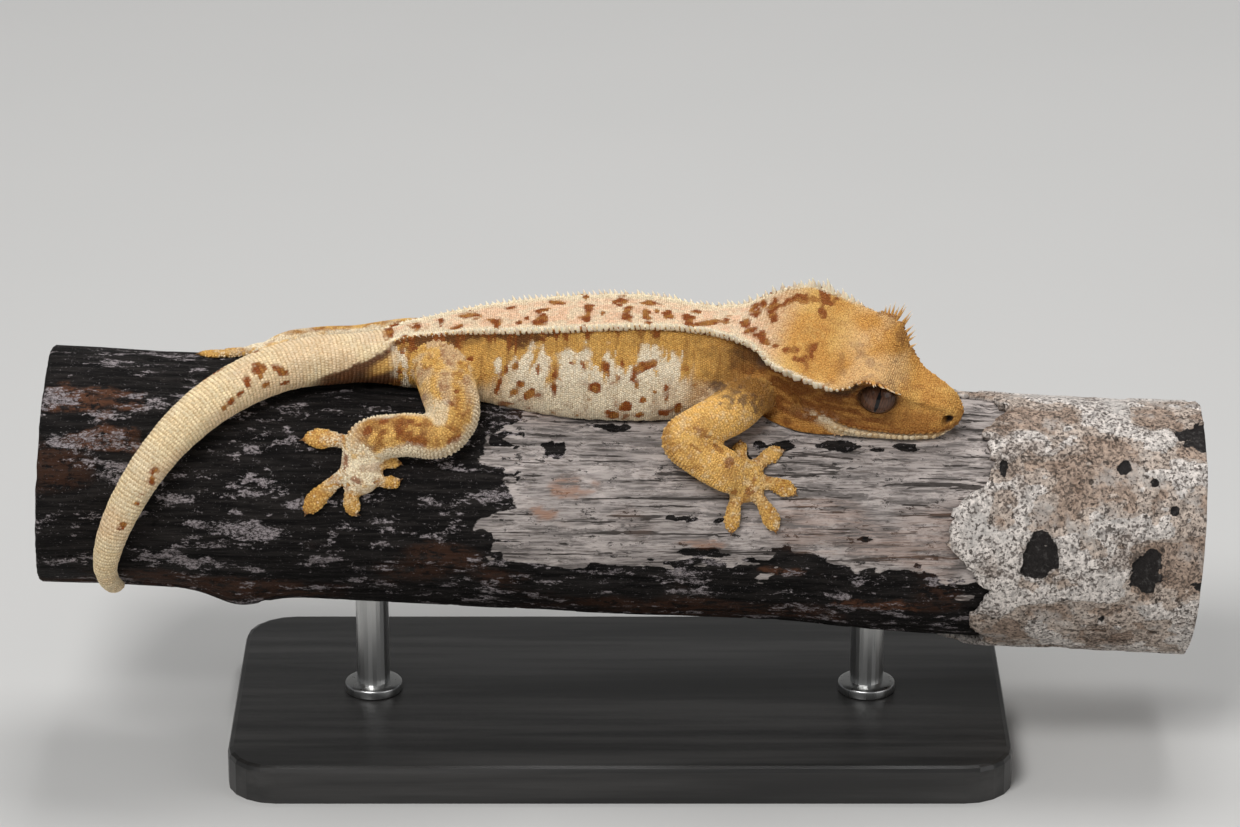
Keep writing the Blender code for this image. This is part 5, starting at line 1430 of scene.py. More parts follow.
def make_spines():
    """The pointed row along each crest, two lower rows beside it, and the lashes over the eyes."""
    draw = np.random.default_rng(SPINE_SEED)
    crest_step, long, short, lash_length = (
        millimetres(name) for name in ("crest_step", "crest_long", "crest_short", "lash_length"))
    lashes = bpy.context.scene.gecko_shape.lashes
    rows = []
    for side in (1, -1):
        for start, spread, inward, low, upright, slim, share in CREST_ROWS:
            for behind in np.arange(start, 107.0, crest_step * spread):
                tall = math.exp(-((behind - 30.0) / 7.0) ** 2)
                fade = min(1.0, (114.0 - behind) / 30.0) * (0.35 + 0.65 * smooth(20.0, 27.0, behind))
                length = (short + (long - short) * tall) * fade * draw.uniform(0.72, 1.15)
                place, out, up, ahead = crest_point(behind + draw.uniform(-0.12, 0.12), side)
                place = place - inward * 0.7 * out - low * up
                lean = upright + draw.uniform(-0.18, 0.18)
                direction = unit(lean * out + up - 0.12 * ahead + draw.uniform(-0.12, 0.12) * ahead)
                wide = (0.52 + 0.06 * tall) * slim * min(1.0, fade + 0.15)
                rows.append((place, direction, -0.3 * ahead, share * length, wide, 0.0))
        for i in range(lashes):
            share = i / (lashes - 1)
            behind = 12.2 + 6.4 * share
            place, out, up, ahead = crest_point(behind, side)
            direction = unit(0.8 * out + 0.7 * up + 1.15 * (0.85 - 1.05 * share) * ahead
                             + draw.uniform(-0.12, 0.12, 3))
            length = lash_length * (0.6 + 0.4 * math.sin(math.pi * share)) * draw.uniform(0.78, 1.05)
            rows.append((place, direction, 0.15 * up, length, 0.27, 1.0))
    places, directions, bends, lengths, bases, lash = columns(rows)
    hits, _, near = on_skin(places, 2.5)
    hits, directions, bends, lengths, bases, lash = (
        rows[near] for rows in (hits, directions, bends, lengths, bases, lash))
    notes = Build.source.read(hits)
    skin = Build.markings.paint(hits, notes)
    ahead = np.tile((1.0, 0.03, 0.02), (len(hits), 1))
    points, triangles = studs(hits, directions, ahead, bases, bases, lengths, SPINE, SPINE_SIDES, bends)
    levels = [np.clip(level, 0, 1) for level, _ in SPINE]
    tip = np.array([*np.repeat(levels, SPINE_SIDES), 1.0, 0.0])
    is_lash = lash > 0.5
    roots = unwrap_place(notes)
    for name, chosen, tone, share in (("crest_spines", ~is_lash, "cream", 0.7),
                                      ("lashes", is_lash, "crown", 0.8)):
        colours = wash(skin[chosen], tone, share)
        obj = coat_piece(name, points[chosen], triangles, colours, roots[chosen], spine_material())
        store(obj, "tip", np.tile(tip, int(chosen.sum())))


def deselect():
    bpy.ops.object.select_all(action="DESELECT")


def active(obj):
    deselect()
    obj.select_set(True)
    bpy.context.view_layer.objects.active = obj


def settle(obj, name, matrix=None):
    """Puts a modelled object's place into its mesh and names it."""
    obj.name = obj.data.name = name
    bpy.context.view_layer.update()
    obj.data.transform(obj.matrix_world if matrix is None else matrix @ obj.matrix_world)
    obj.matrix_world = Matrix.Identity(4)
    for polygon in obj.data.polygons:
        polygon.use_smooth = True
    return obj


def head_matrix():
    placed = Matrix.Translation(NOSE) @ Matrix(head_axes().tolist()).to_4x4()
    return to_world() @ placed


def make_eyes():
    """Glossy eyeballs with a clear bulge in front, each with a slit pupil."""
    for side, word in ((1, "left"), (-1, "right")):
        deselect()
        bpy.ops.mesh.primitive_uv_sphere_add(segments=72, ring_count=48, radius=EYE_RADIUS)
        eye = bpy.context.object
        faces = Vector(mirrored(EYE_FACES, side))
        turn = faces.to_track_quat("Z", "X").to_matrix().to_4x4()
        points = read_mesh(eye)
        polar = np.hypot(points[:, 0], points[:, 1])
        front = points[:, 2] > 0
        points[:, 2] += EYE_BULGE * np.exp(-(polar / EYE_BULGE_WIDTH) ** 2) * front
        write_mesh(eye, points)
        up = np.array(turn.to_3x3().inverted() @ Vector((0.05, 0.0, 1.0)))[:2]
        up = up / np.linalg.norm(up)
        across = points[:, 0] * up[1] - points[:, 1] * up[0]
        upright = points[:, 0] * up[0] + points[:, 1] * up[1]
        store(eye, "iris", np.stack((across * side, upright, points[:, 2]), axis=1))
        placed = Matrix.Translation(mirrored(EYE_AT, side)) @ Matrix.Diagonal((*EYE_SQUASH, 1.0)) @ turn
        settle(eye, f"eyeball_{word}", head_matrix() @ placed)
        eye.data.materials.append(eye_material())
        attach(eye, "root")
        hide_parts(f"eye_{word}")


def make_claws():
    """A small hooked claw at the end of every toe."""
    rows = []
    for _, middle, turn, _, toes in FEET:
        toe_side = 1 if middle[1] > 0 else -1
        for toe in toes:
            curve, ups = toe_curve(middle, toe, toe_side, turn)
            tip, before = np.array(curve[-1][:3]), np.array(curve[-2][:3])
            ahead, up = unit(tip - before), np.array(ups[-1])
            rows.append((tip + 0.25 * up - 0.15 * ahead, unit(ahead + 0.35 * up), -0.42 * up))
    places, directions, bends = columns(rows)
    count = len(places)
    side = np.cross(directions, bends)
    widths, depths, lengths = (np.full(count, size) for size in (CLAW_WIDTH, CLAW_DEPTH, CLAW_LENGTH))
    points, triangles = studs(places, directions, side, widths, depths, lengths, CLAW, CLAW_SIDES, bends)
    obj = new_mesh("claws", kept_off_perch(points.reshape(-1, 3), CLAW_ROOM),
                   repeated(triangles, count, points.shape[1]))
    obj.data.materials.append(claw_material())
    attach(obj, "root")


def branch_points(along, around, radius):
    """Points of the branch frame from grids of along, degrees around and radius."""
    angle = np.radians(around)
    return np.stack((along, -radius * np.sin(angle), radius * np.cos(angle)), axis=-1)


def wood_depth(along, around):
    """How far the weathered surface lies under the plain wood: grain, long cracks and charred pits."""
    turn = np.radians(around.ravel())
    across = np.column_stack((PERCH_RADIUS * np.sin(turn), PERCH_RADIUS * np.cos(turn)))

    def noise(stretch, *settings):
        return rough_noise(np.column_stack((along.ravel() * stretch, across)), *settings)

    depth = 0.16 * noise(0.085, 1.1, 3, 2) + 0.34 * smooth(0.60, 0.72, noise(0.085 * 0.5, 2.3, 17, 2))
    depth += 0.28 * smooth(0.58, 0.75, noise(1.0, 2.4, 29, 3))
    depth += 0.3 * smooth(0.45, 0.75, noise(0.4, 9.0, 41, 2))
    return depth.reshape(along.shape)


def make_branch():
    """The cut branch: weathered and partly charred wood with sawn ends, black on its underside partly as
    painted shade.
    """
    sides, count = WOOD_SIDES, WOOD_RINGS
    around = np.linspace(0, 360, sides, endpoint=False)
    along = np.linspace(-PERCH_HALF + 0.5, PERCH_HALF - 0.5, count)
    grid_along, grid_around = np.meshgrid(along, around, indexing="ij")
    radius = wood_radius(grid_along, grid_around) - wood_depth(grid_along, grid_around)
    rings = list(branch_points(grid_along, grid_around, radius))
    ends = []
    for sign, ring in ((-1, rings[0]), (1, rings[-1])):
        shares = (0.985, 0.93, 0.8, 0.6, 0.4, 0.2, 0.03)
        edge = sign * PERCH_HALF
        cut = []
        for share in shares:
            flat = ring * (0, share, share)
            crack = 0.25 * rough_noise(flat, 2.0, 7, 2) + 0.1 * np.cos(share * 60)
            cut.append(flat + np.stack((edge - sign * crack, 0 * crack, 0 * crack), axis=1))
        ends.append(cut)
    rings = ends[0][::-1] + rings + ends[1]
    faces = ring_faces(len(rings), sides)[:, ::-1]
    points = np.vstack(rings)
    after = len(points)
    caps = np.vstack((fan(sides, 0, after), fan(sides, after - sides, after + 1, flip=True)))
    points = np.vstack((points, rings[0].mean(0), rings[-1].mean(0)))
    obj = new_mesh("branch_wood", points, [faces, caps])
    for name, values in zip(("char", "brown", "dust"), burnt_and_shaded(points)):
        store(obj, name, values)
    obj.data.materials.append(wood_material())
    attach(obj, "root")
    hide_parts("perch_branch")


def photo_on_wood(x, y):
    """Where a photo pixel meets the plain branch, as along and around in degrees."""
    start, aim = photo_ray(x, y)
    across, way = start[1:], aim[1:]
    a, b, c = way @ way, 2 * across @ way, across @ across - PERCH_RADIUS ** 2
    distance = (-b - math.sqrt(max(b * b - 4 * a * c, 0.0))) / (2 * a)
    hit = start + distance * aim
    return hit[0], math.degrees(math.atan2(-hit[1], hit[2]))


def patches_on_wood(table, points, noise, ragged, soft):
    """1 inside the listed patches of the branch, with ragged rims."""
    along = points[:, 0]
    around = around_of(points)
    out = np.zeros(len(points))
    for x, y, half_long, half_wide in table:
        middle, turn = photo_on_wood(x, y)
        down = turn_between(around, turn) * math.pi / 180 * PERCH_RADIUS
        size = ((along - middle) / half_long) ** 2 + (down / half_wide) ** 2
        out = np.maximum(out, smooth(-soft, soft, 1 - size + ragged * (noise - 0.5) * 2))
    return out


def burnt_and_shaded(points):
    """How black, how brown and how dusty the wood is: charred black at the tail end and in patches, and
    black below, partly charring and partly painted shade on the underside.
    """
    along = points[:, 0]
    around = around_of(points)
    broad = rough_noise(points * (0.5, 1, 1), 11.0, 61, 3)
    patch = rough_noise(points * (0.35, 1, 1), 3.2, 67, 4)
    chips = rough_noise(points * (0.55, 1, 1), 1.5, 69, 3)
    tail_end = smooth(-0.06, 0.06, (-23.0 - along) / 26.0 + 1.1 * (broad - 0.5) + 0.5 * (patch - 0.5))
    # painted shade: the underside, turned from the light, is painted black together with the charring
    low = smooth(-0.06, 0.06, (np.abs(around) - 100) / 45.0 + 1.2 * (patch - 0.5))
    char = np.maximum(tail_end, low)
    char = np.maximum(char, patches_on_wood(BLACK_PATCHES, points, chips, 2.6, 0.5))
    brown = smooth(0.56, 0.68, broad) * 0.4
    brown = np.maximum(brown, patches_on_wood(BROWN_PATCHES, points, chips, 2.4, 0.5))
    return char, brown, patches_on_wood(DUSTY_PATCHES, points, chips, 2.8, 0.8)


def bark_edge_fine(around):
    """The bark's ragged edge, with the small bites that weather leaves."""
    turn = np.radians(around)
    ring = np.column_stack((np.zeros(len(around)), 21 * np.cos(turn), 21 * np.sin(turn)))
    edge = bark_edge(around) + 4.2 * (rough_noise(ring, 7.0, 83, 2) - 0.4)
    edge = edge + 3.0 * (rough_noise(ring, 2.4, 85, 3) - 0.5)
    return edge + 0.9 * (smooth(0.45, 0.5, lattice_noise(ring, 1.1, 87)) - 0.5)


def make_bark():
    """The sleeve of bark at the head end, in plates that flake away at its edge."""
    sides, count = BARK_SIDES, BARK_RINGS
    around = np.linspace(0, 360, sides, endpoint=False)
    from_chin = np.abs(turn_between(around, CHIN_AROUND))
    clear = bark_edge(around) + 0.1 - 12 * smooth(30, 45, from_chin)
    start = np.maximum(np.maximum(bark_edge_fine(around), BARK_START - BARK_RAGGED - 1.5), clear)
    share = np.linspace(0, 1, count) ** 1.15
    along = start[None] + (PERCH_HALF - 0.15 - start[None]) * share[:, None]
    grid_around = np.tile(around, (count, 1))
    turn = np.radians(grid_around.ravel())
    ring = np.column_stack((along.ravel(), 22 * np.sin(turn), 22 * np.cos(turn)))
    lumps = rough_noise(ring, 3.0, 91, 3).reshape(along.shape)
    plates = rough_noise(ring * (0.8, 1, 1), 6.5, 97, 4)
    plates = (smooth(0.46, 0.475, plates) + smooth(0.56, 0.575, plates)).reshape(along.shape)
    wood = branch_points(along, grid_around, PERCH_RADIUS + 0 * along).reshape(-1, 3)
    rough = rough_noise(wood, 2.2, 67, 3)
    worn = patches_on_wood(BARK_PATCHES, wood, rough, 1.9, 0.6).reshape(along.shape)
    edge = 1 - smooth(0.0, 1.6, along - start[None])
    depth = BARK_THICK * np.clip(1.0 - 0.3 * (lumps - 0.35) - 0.24 * plates - 0.25 * edge, 0.3, 1.0)
    depth = np.where(worn > 0.5, np.minimum(depth, 0.36 + 0.15 * lumps), depth)
    outer = branch_points(along, grid_around, wood_radius(along, grid_around) + BARK_GAP + depth)
    inner_share = np.array((1.0, 0.6, 0.3, 0.08, 0.0))
    inner_along = start[None] + (PERCH_HALF - 0.15 - start[None]) * inner_share[:, None]
    inner_around = np.tile(around, (len(inner_share), 1))
    inner = branch_points(inner_along, inner_around, wood_radius(inner_along, inner_around) - 0.1)
    rings = [*outer, *inner]
    faces = ring_faces(len(rings), sides)[:, ::-1]
    last = (len(rings) - 1) * sides
    i = np.arange(sides)
    j = (i + 1) % sides
    closing = np.stack((last + i, last + j, j, i), axis=1)[:, ::-1]
    obj = new_mesh("branch_bark", np.vstack(rings), [np.vstack((faces, closing))])
    for name, share_of in (("worn", worn), ("layer", plates / 2)):
        values = np.zeros(len(rings) * sides)
        values[:share_of.size] = share_of.ravel()
        store(obj, name, values)
    obj.data.materials.append(bark_material())
    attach(obj, "root")
    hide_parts("perch_bark")


def make_stand():
    """Collars where the rods meet the base, and the finish of the plain stand."""
    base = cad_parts["stand_base"].data.materials
    base.clear()
    base.append(base_material())
    for word in ("tail", "head"):
        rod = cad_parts[f"stand_rod_{word}"]
        rod.data.materials.clear()
        rod.data.materials.append(steel_material())
        low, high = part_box(f"stand_rod_{word}")
        middle = (low + high) / 2
        deselect()
        bpy.ops.mesh.primitive_cylinder_add(vertices=64, radius=COLLAR_RADIUS * MM, depth=COLLAR_HEIGHT * MM,
                                            location=(middle.x, middle.y, low.z + COLLAR_LIFT * MM))
        collar = bpy.context.object
        select_in(collar, "FACE", lambda face: face.normal.z > 0.9)
        bpy.ops.mesh.inset(thickness=COLLAR_INSET * MM)
        bpy.ops.transform.translate(value=(0, 0, COLLAR_STEP * MM))
        bpy.ops.object.mode_set(mode="OBJECT")
        bevel = collar.modifiers.new("soft edge", "BEVEL")
        bevel.width = COLLAR_EDGE * MM
        bevel.segments = 3
        bpy.ops.object.modifier_apply(modifier=bevel.name)
        settle(collar, f"collar_{word}")
        active(collar)
        bpy.ops.object.shade_smooth_by_angle(angle=math.radians(35))
        collar.data.materials.append(steel_material())
        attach(collar, "root")


class Wire:
    """A shader socket on which Python's operators add Math nodes."""

    def __init__(self, shader, socket):
        self.shader, self.socket = shader, socket

    def math(self, operation, *values):
        return self.shader.math(operation, self, *values)

    def __add__(self, other):
        return self.math("ADD", other)

    __radd__ = __add__

    def __sub__(self, other):
        return self.math("SUBTRACT", other)

    def __rsub__(self, other):
        return self.shader.math("SUBTRACT", other, self)

    def __mul__(self, other):
        return self.math("MULTIPLY", other)

    __rmul__ = __mul__


class Shader:
    """One material's nodes, ending in a Principled shader."""

    def __init__(self, name, roughness=0.5, metallic=0.0, specular=0.5):
        self.material = bpy.data.materials.new(name)
        self.material.use_nodes = True
        self.tree = self.material.node_tree
        self.surface = self.tree.nodes["Principled BSDF"].inputs
        self.surface["Roughness"].default_value = roughness
        self.surface["Metallic"].default_value = metallic
        self.surface["Specular IOR Level"].default_value = specular
        self.place = self.node("ShaderNodeTexCoord")["Object"]

    def node(self, kind, settings=None, inputs=None):
        """Adds a node; its settings are set first, then its sockets. Outputs are read by name."""
        made = self.tree.nodes.new(kind)
        for key, value in (settings or {}).items():
            setattr(made, key, value)
        for key, value in (inputs or {}).items():
            self.put(self.socket(made.inputs, key), value)
        wires = {socket.name: Wire(self, socket) for socket in reversed(made.outputs)}
        return {**wires, **{socket.identifier: Wire(self, socket) for socket in made.outputs}}

    def socket(self, sockets, key):
        """The socket with this number, identifier or name."""
        if isinstance(key, int):
            return sockets[key]
        return next((socket for socket in sockets if socket.identifier == key), None) or sockets[key]

    def put(self, socket, value):
        if isinstance(value, Wire):
            self.tree.links.new(value.socket, socket)
        elif np.ndim(value) and socket.type == "RGBA":
            socket.default_value = (*np.minimum(value, 1), 1.0)
        else:
            socket.default_value = value

    def math(self, operation, *values):
        return self.node("ShaderNodeMath", {"operation": operation}, dict(enumerate(values)))["Value"]

    def noise(self, scale, detail=3.0, rough=0.55, stretch=None, vector=None):
        """Noise at a place, which may be stretched along the axes first."""
        vector = vector or self.place
        if stretch:
            vector = self.node("ShaderNodeMapping", None, {"Vector": vector, "Scale": stretch})["Vector"]
        return self.node("ShaderNodeTexNoise", None, {
            "Vector": vector, "Scale": scale, "Detail": detail, "Roughness": rough})["Fac"]

    def cells(self, scale):
        return self.node("ShaderNodeTexVoronoi", None, {"Vector": self.place, "Scale": scale})["Distance"]

    def band(self, value, low, high):
        """0 under low, 1 over high, smooth between."""
        return self.node("ShaderNodeMapRange", {"interpolation_type": "SMOOTHSTEP"}, {
            "Value": value, "From Min": low, "From Max": high})["Result"]

    def blend(self, a, b, share, mode="MIX"):
        return self.node("ShaderNodeMix", {"data_type": "RGBA", "blend_type": mode}, {
            "Factor_Float": share, "A_Color": a, "B_Color": b})["Result_Color"]

    def multiply(self, a, b, share):
        return self.blend(a, b, share, "MULTIPLY")

    def attribute(self, name, output="Color"):
        return self.node("ShaderNodeAttribute", {"attribute_name": name})[output]

    def bump(self, height, distance, strength=1.0):
        self.put(self.surface["Normal"], self.node("ShaderNodeBump", None, {
            "Height": height, "Distance": distance, "Strength": strength})["Normal"])

    def finish(self, colour, roughness=None):
        self.put(self.surface["Base Color"], colour)
        if roughness is not None:
            self.put(self.surface["Roughness"], roughness)


def material(name, **settings):
    """Turns a function that wires a shader into one that gives its material, made only once."""
    def wrap(wire):
        def give():
            if name not in bpy.data.materials:
                wire(Shader(name, **settings))
            return bpy.data.materials[name]
        return give
    return wrap


@material("gecko_skin", specular=0.2)
def skin_material(shader):
    markings = shader.attribute("markings")
    grains = shader.cells(2600)
    colour = shader.multiply(markings, (0.55, 0.44, 0.34), 0.35 + 0.5 * shader.band(grains, 0.3, 0.7))
    height = 1 - grains
    shader.bump(height + 0.4 * shader.noise(900), 0.00012, 0.7)
    shader.finish(colour, 0.5 + 0.2 * shader.noise(400))


@material("gecko_scales", specular=0.25)
def scale_material(shader):
    markings = shader.attribute("markings")
    mottle = shader.noise(3800, 2.0)
    colour = shader.multiply(markings, (0.72, 0.62, 0.5), shader.band(mottle, 0.5, 0.72))
    shader.bump(shader.noise(6000, 2.0), 0.00004, 0.5)
    shader.finish(colour, 0.42 + 0.2 * shader.noise(700))


@material("gecko_spines", roughness=0.45)
def spine_material(shader):
    shader.surface["Subsurface Weight"].default_value = 0.2
    shader.surface["Subsurface Radius"].default_value = (0.0015, 0.0008, 0.0004)
    tip = shader.attribute("tip", "Fac")
    markings = shader.attribute("markings")
    colour = shader.blend(markings, (0.86, 0.78, 0.62), 0.75 * shader.band(tip, 0.25, 0.9))
    shader.bump(shader.noise(4000, 2.0), 0.00004, 0.4)
    shader.finish(colour, 0.4 + 0.15 * shader.noise(900))


@material("gecko_eye", roughness=0.12, specular=0.35)
def eye_material(shader):
    """A veined iris with a wavy upright slit, read in millimetres from the eye's own chart."""
    chart = shader.attribute("iris", "Vector")
    parts = shader.node("ShaderNodeSeparateXYZ", None, {"Vector": chart})
    across, upright = parts["X"], parts["Y"]
    wobble = shader.noise(1100, 2.0)
    width = 0.34 - 0.05 * upright * upright + 0.22 * (wobble - 0.5)
    slit = shader.band(across.math("ABSOLUTE") - width.math("MAXIMUM", 0.03), -0.02, 0.08)
    veins = shader.noise(1.0, 4.0, 0.7, (5.0, 0.5, 1.0), chart)
    tone = shade("eye")
    iris = shader.blend(tone * 0.45, tone * 1.9, shader.band(veins, 0.3, 0.72))
    rim = shader.band(across * across + upright * upright, 5.0, 10.5)
    iris = shader.blend(iris, tone * 0.2, 0.75 * rim)
    shader.finish(shader.blend((0.003, 0.002, 0.002), iris, slit), 0.1 + 0.06 * wobble)


@material("gecko_claws", roughness=0.3)
def claw_material(shader):
    streak = shader.noise(1600, 2.0)
    colour = shader.blend((0.10, 0.045, 0.018), (0.30, 0.17, 0.07), shader.band(streak, 0.4, 0.65))
    shader.bump(streak, 0.00003, 0.4)
    shader.finish(colour, 0.25 + 0.15 * streak)


@material("branch_wood", roughness=0.85, specular=0.12)
def wood_material(shader):
    """Grey weathered wood with cracks and flakes, black where charred with bare and dusty specks, the same
    black also standing for painted shade on the underside.
    """
    char, brown, dusty = (shader.attribute(key, "Fac") for key in ("char", "brown", "dust"))
    fibres, grain, weather, cracks, flakes, dust = (
        shader.noise(scale, detail, rough, (along, 1, 1)) for scale, detail, rough, along in (
            (3200, 6.0, 0.7, 0.07), (1100, 6.0, 0.7, 0.08), (330, 6.0, 0.75, 0.35), (820, 4.0, 0.65, 0.045),
            (700, 7.0, 0.8, 0.5), (2600, 6.0, 0.85, 0.6)))
    wood, black = shade("wood"), shade("char")
    grey = shader.blend(wood * 0.5, wood * 1.35, shader.band(grain, 0.38, 0.6))
    grey = shader.blend(grey, wood * 1.9, 0.6 * shader.band(weather, 0.5, 0.6))
    grey = shader.multiply(grey, (0.45, 0.43, 0.41), shader.band(fibres, 0.5, 0.66))
    grey = shader.blend(grey, (0.045, 0.038, 0.034), 0.9 * shader.band(cracks, 0.585, 0.61))
    grey = shader.blend(grey, (0.03, 0.026, 0.024), 0.9 * shader.band(flakes, 0.585, 0.6))
    grey = shader.blend(grey, (0.36, 0.17, 0.09), 0.7 * brown * shader.band(grain, 0.35, 0.6))
    black = shader.blend(black * 0.3, black * 1.5, shader.band(grain, 0.4, 0.65))
    black = shader.blend(black, (0.10, 0.042, 0.022), brown * shader.band(flakes, 0.42, 0.52))
    lilac = shader.blend((0.07, 0.056, 0.056), (0.36, 0.32, 0.325), shader.band(dust, 0.42, 0.58))
    bare = shader.band(weather + 0.6 * (flakes - 0.5) + 0.13 * dusty, 0.58, 0.6)
    black = shader.blend(black, lilac, bare * shader.band(dust, 0.38, 0.5))
    black = shader.blend(black, lilac, 0.8 * shader.band(dust + 0.1 * dusty, 0.62, 0.65))
    edge = shader.band(char + 1.7 * (flakes - 0.5) + 0.8 * (grain - 0.5), 0.46, 0.54)
    colour = shader.blend(grey, black, edge)
    height = grain + 0.5 * fibres + 0.6 * flakes - 0.9 * shader.band(cracks, 0.585, 0.61)
    shader.bump(height, 0.0003)
    shader.finish(colour, 0.7 + 0.25 * flakes)


@material("branch_bark", roughness=0.9, specular=0.2)
def bark_material(shader):
    """Pale pitted bark, browner on its lower layers and dark where it is worn away."""
    worn, layer = shader.attribute("worn", "Fac"), shader.attribute("layer", "Fac")
    broad = shader.noise(110, 5.0, 0.6)
    fine = shader.noise(900, 6.0, 0.75)
    grit = shader.noise(1900, 3.0, 0.6)
    spots = shader.noise(620, 3.0, 0.6)
    bark = shade("bark")
    colour = shader.blend(bark * 0.62, bark * 1.62, shader.band(fine, 0.36, 0.62))
    colour = shader.blend(colour, (0.27, 0.19, 0.14), 0.45 * shader.band(broad, 0.52, 0.62))
    colour = shader.multiply(colour, (0.62, 0.50, 0.40), 0.6 * shader.band(layer, 0.3, 0.5))
    colour = shader.multiply(colour, (0.50, 0.36, 0.26), 0.5 * shader.band(layer, 0.7, 0.95))
    colour = shader.blend(colour, (0.52, 0.49, 0.46), 0.5 * shader.band(broad, 0.46, 0.36))
    pits = shader.band(grit + 0.35 * (broad - 0.5), 0.535, 0.60)
    colour = shader.blend(colour, (0.085, 0.066, 0.055), 0.8 * pits)
    holes = shader.band(spots + 0.25 * (fine - 0.5), 0.62, 0.66)
    colour = shader.blend(colour, (0.045, 0.034, 0.028), 0.85 * holes)
    dark = shader.blend((0.020, 0.017, 0.016), (0.085, 0.078, 0.074), shader.band(fine, 0.5, 0.7))
    bared = shader.band(worn + 1.1 * (fine - 0.5) + 0.5 * (grit - 0.5), 0.42, 0.5)
    colour = shader.blend(colour, dark, bared)
    shader.bump(fine + 0.5 * broad - 0.5 * pits, 0.0004, 0.9)
    shader.finish(colour, 0.8 + 0.15 * fine)


@material("stand_base_finish", roughness=0.32)
def base_material(shader):
    grain = shader.noise(220, 5.0, 0.6, (0.05, 1, 1))
    colour = shader.blend(shade("base") * 0.6, shade("base") * 1.9, shader.band(grain, 0.35, 0.7))
    shader.bump(grain, 0.00012, 0.35)
    shader.finish(colour, 0.26 + 0.2 * grain)


@material("stand_steel", roughness=0.28, metallic=1.0)
def steel_material(shader):
    brushed = shader.noise(900, 3.0, 0.6, (1, 1, 0.03))
    colour = shader.blend(shade("steel") * 0.85, shade("steel") * 1.15, brushed)
    shader.bump(brushed, 0.00002, 0.3)
    shader.finish(colour, 0.2 + 0.2 * brushed)


@material("studio_sweep", roughness=0.9)
def stage_material(shader):
    shader.finish(shader.blend((0.56, 0.555, 0.54), (0.60, 0.59, 0.575), shader.noise(6)))


def select_in(obj, kind, wanted):
    """Opens the object for editing with only its wanted faces or edges selected."""
    bpy.ops.object.mode_set(mode="EDIT")
    bpy.ops.mesh.select_mode(type=kind)
    bpy.ops.mesh.select_all(action="DESELECT")
    mesh = bmesh.from_edit_mesh(obj.data)
    for element in mesh.faces if kind == "FACE" else mesh.edges:
        element.select_set(wanted(element))
    bmesh.update_edit_mesh(obj.data)


def make_stage():
    """A pale floor that curves up behind, soft lights and the camera."""
    deselect()
    bpy.ops.mesh.primitive_plane_add(size=FLOOR_SIZE)
    floor = bpy.context.object
    select_in(floor, "EDGE", lambda edge: all(vert.co.y > 0.4 * FLOOR_SIZE for vert in edge.verts))
    bpy.ops.mesh.extrude_region_move(TRANSFORM_OT_translate={"value": (0, 0, FLOOR_RISE)})
    bpy.ops.object.mode_set(mode="OBJECT")
    bevel = floor.modifiers.new("sweep", "BEVEL")
    bevel.width, bevel.segments = FLOOR_CURVE, 24
    active(floor)
    bpy.ops.object.modifier_apply(modifier=bevel.name)
    settle(floor, "studio_floor")
    floor.data.materials.append(stage_material())
    bpy.context.scene.view_settings.view_transform = "Standard"
    world = bpy.data.worlds.new("studio")
    bpy.context.scene.world = world
    world.use_nodes = True
    sky = world.node_tree.nodes["Background"].inputs
    sky["Color"].default_value = (0.93, 0.96, 1.0, 1.0)
    sky["Strength"].default_value = 0.2
    target = Vector((0, 0, 0.06))
    for name, place, wide, power in LIGHTS:
        deselect()
        bpy.ops.object.light_add(type="AREA", location=place)
        light = bpy.context.object
        light.name = f"light_{name}"
        light.data.size = wide
        light.data.energy = power
        light.rotation_euler = (target - Vector(place)).to_track_quat("-Z", "Y").to_euler()
    ahead = Vector((0, math.cos(VIEW_HEIGHT), -math.sin(VIEW_HEIGHT)))
    place = (Vector(VIEW_TARGET) - VIEW_DISTANCE * ahead) * MM
    deselect()
    bpy.ops.object.camera_add(location=place)
    camera = bpy.context.object
    camera.rotation_euler = ahead.to_track_quat("-Z", "Y").to_euler()
    camera.data.sensor_width = SENSOR_WIDTH
    camera.data.lens = SENSOR_WIDTH * VIEW_DISTANCE / (PHOTO_WIDTH * PHOTO_PIXEL)
    camera.data.clip_start, camera.data.clip_end = 0.01, 20.0
    bpy.context.scene.camera = camera


class GECKO_OT_skin(bpy.types.Operator):
    """Model the whole animal as one skin"""
    bl_idname = "gecko.skin"
    bl_label = "Skin"
    bl_options = {"REGISTER", "UNDO"}

    def execute(self, context):
        make_skin()
        return {"FINISHED"}


class GECKO_OT_scales(bpy.types.Operator):
    """Cover the skin with granular scales"""
    bl_idname = "gecko.scales"
    bl_label = "Scales"
    bl_options = {"REGISTER", "UNDO"}

    def execute(self, context):
        make_scales()
        return {"FINISHED"}


class GECKO_OT_lips(bpy.types.Operator):
    """Add the plate scales along the mouth"""
    bl_idname = "gecko.lips"
    bl_label = "Lips"
    bl_options = {"REGISTER", "UNDO"}

    def execute(self, context):
        make_lips()
        return {"FINISHED"}


class GECKO_OT_spines(bpy.types.Operator):
    """Add the crest spines and the lashes"""
    bl_idname = "gecko.spines"
    bl_label = "Crest and lashes"
    bl_options = {"REGISTER", "UNDO"}

    def execute(self, context):
        make_spines()
        return {"FINISHED"}


class GECKO_OT_eyes(bpy.types.Operator):
    """Add both eyes"""
    bl_idname = "gecko.eyes"
    bl_label = "Eyes"
    bl_options = {"REGISTER", "UNDO"}

    def execute(self, context):
        make_eyes()
        return {"FINISHED"}


class GECKO_OT_claws(bpy.types.Operator):
    """Add a claw to every toe"""
    bl_idname = "gecko.claws"
    bl_label = "Claws"
    bl_options = {"REGISTER", "UNDO"}

    def execute(self, context):
        make_claws()
        return {"FINISHED"}


class GECKO_OT_branch(bpy.types.Operator):
    """Model the cut branch"""
    bl_idname = "gecko.branch"
    bl_label = "Branch"
    bl_options = {"REGISTER", "UNDO"}

    def execute(self, context):
        make_branch()
        return {"FINISHED"}


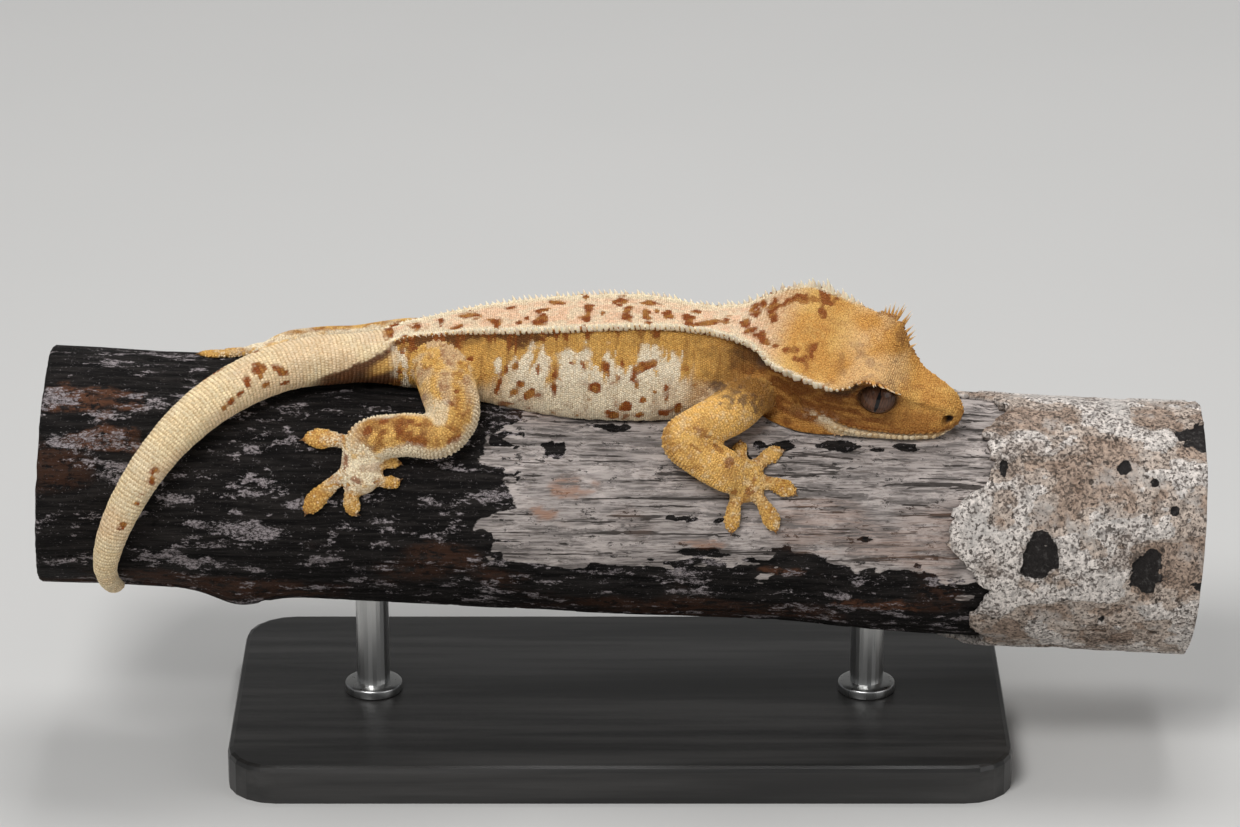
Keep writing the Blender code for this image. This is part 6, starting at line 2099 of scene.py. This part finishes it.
class GECKO_OT_bark(bpy.types.Operator):
    """Model the bark that is left on the branch"""
    bl_idname = "gecko.bark"
    bl_label = "Bark"
    bl_options = {"REGISTER", "UNDO"}

    def execute(self, context):
        make_bark()
        return {"FINISHED"}


class GECKO_OT_stand(bpy.types.Operator):
    """Finish the display stand"""
    bl_idname = "gecko.stand"
    bl_label = "Stand"
    bl_options = {"REGISTER", "UNDO"}

    def execute(self, context):
        make_stand()
        return {"FINISHED"}


class GECKO_OT_stage(bpy.types.Operator):
    """Add the floor, the lights and the camera"""
    bl_idname = "gecko.stage"
    bl_label = "Stage"
    bl_options = {"REGISTER", "UNDO"}

    def execute(self, context):
        make_stage()
        return {"FINISHED"}


OPERATORS = (GECKO_OT_skin, GECKO_OT_scales, GECKO_OT_lips, GECKO_OT_spines, GECKO_OT_eyes,
             GECKO_OT_claws, GECKO_OT_branch, GECKO_OT_bark, GECKO_OT_stand, GECKO_OT_stage)


class GECKO_PT_sidebar(bpy.types.Panel):
    """The steps and the sizes, in the 3D view's sidebar"""
    bl_label = "Crested Gecko"
    bl_space_type = "VIEW_3D"
    bl_region_type = "UI"
    bl_category = "Gecko"

    def draw(self, context):
        for operator in OPERATORS:
            self.layout.operator(operator.bl_idname)
        for group in (context.scene.gecko_shape, context.scene.gecko_colours):
            for name in group.__annotations__:
                self.layout.prop(group, name)


CLASSES = (GeckoShape, GeckoColours, *OPERATORS, GECKO_PT_sidebar)


def register():
    for made in CLASSES:
        bpy.utils.register_class(made)
    bpy.types.Scene.gecko_shape = PointerProperty(type=GeckoShape)
    bpy.types.Scene.gecko_colours = PointerProperty(type=GeckoColours)


def unregister():
    del bpy.types.Scene.gecko_shape
    del bpy.types.Scene.gecko_colours
    for made in reversed(CLASSES):
        bpy.utils.unregister_class(made)


def main():
    register()
    bpy.ops.gecko.skin()
    bpy.ops.gecko.scales()
    bpy.ops.gecko.lips()
    bpy.ops.gecko.spines()
    bpy.ops.gecko.eyes()
    bpy.ops.gecko.claws()
    bpy.ops.gecko.branch()
    bpy.ops.gecko.bark()
    bpy.ops.gecko.stand()
    bpy.ops.gecko.stage()


if __name__ == "__main__":
    main()
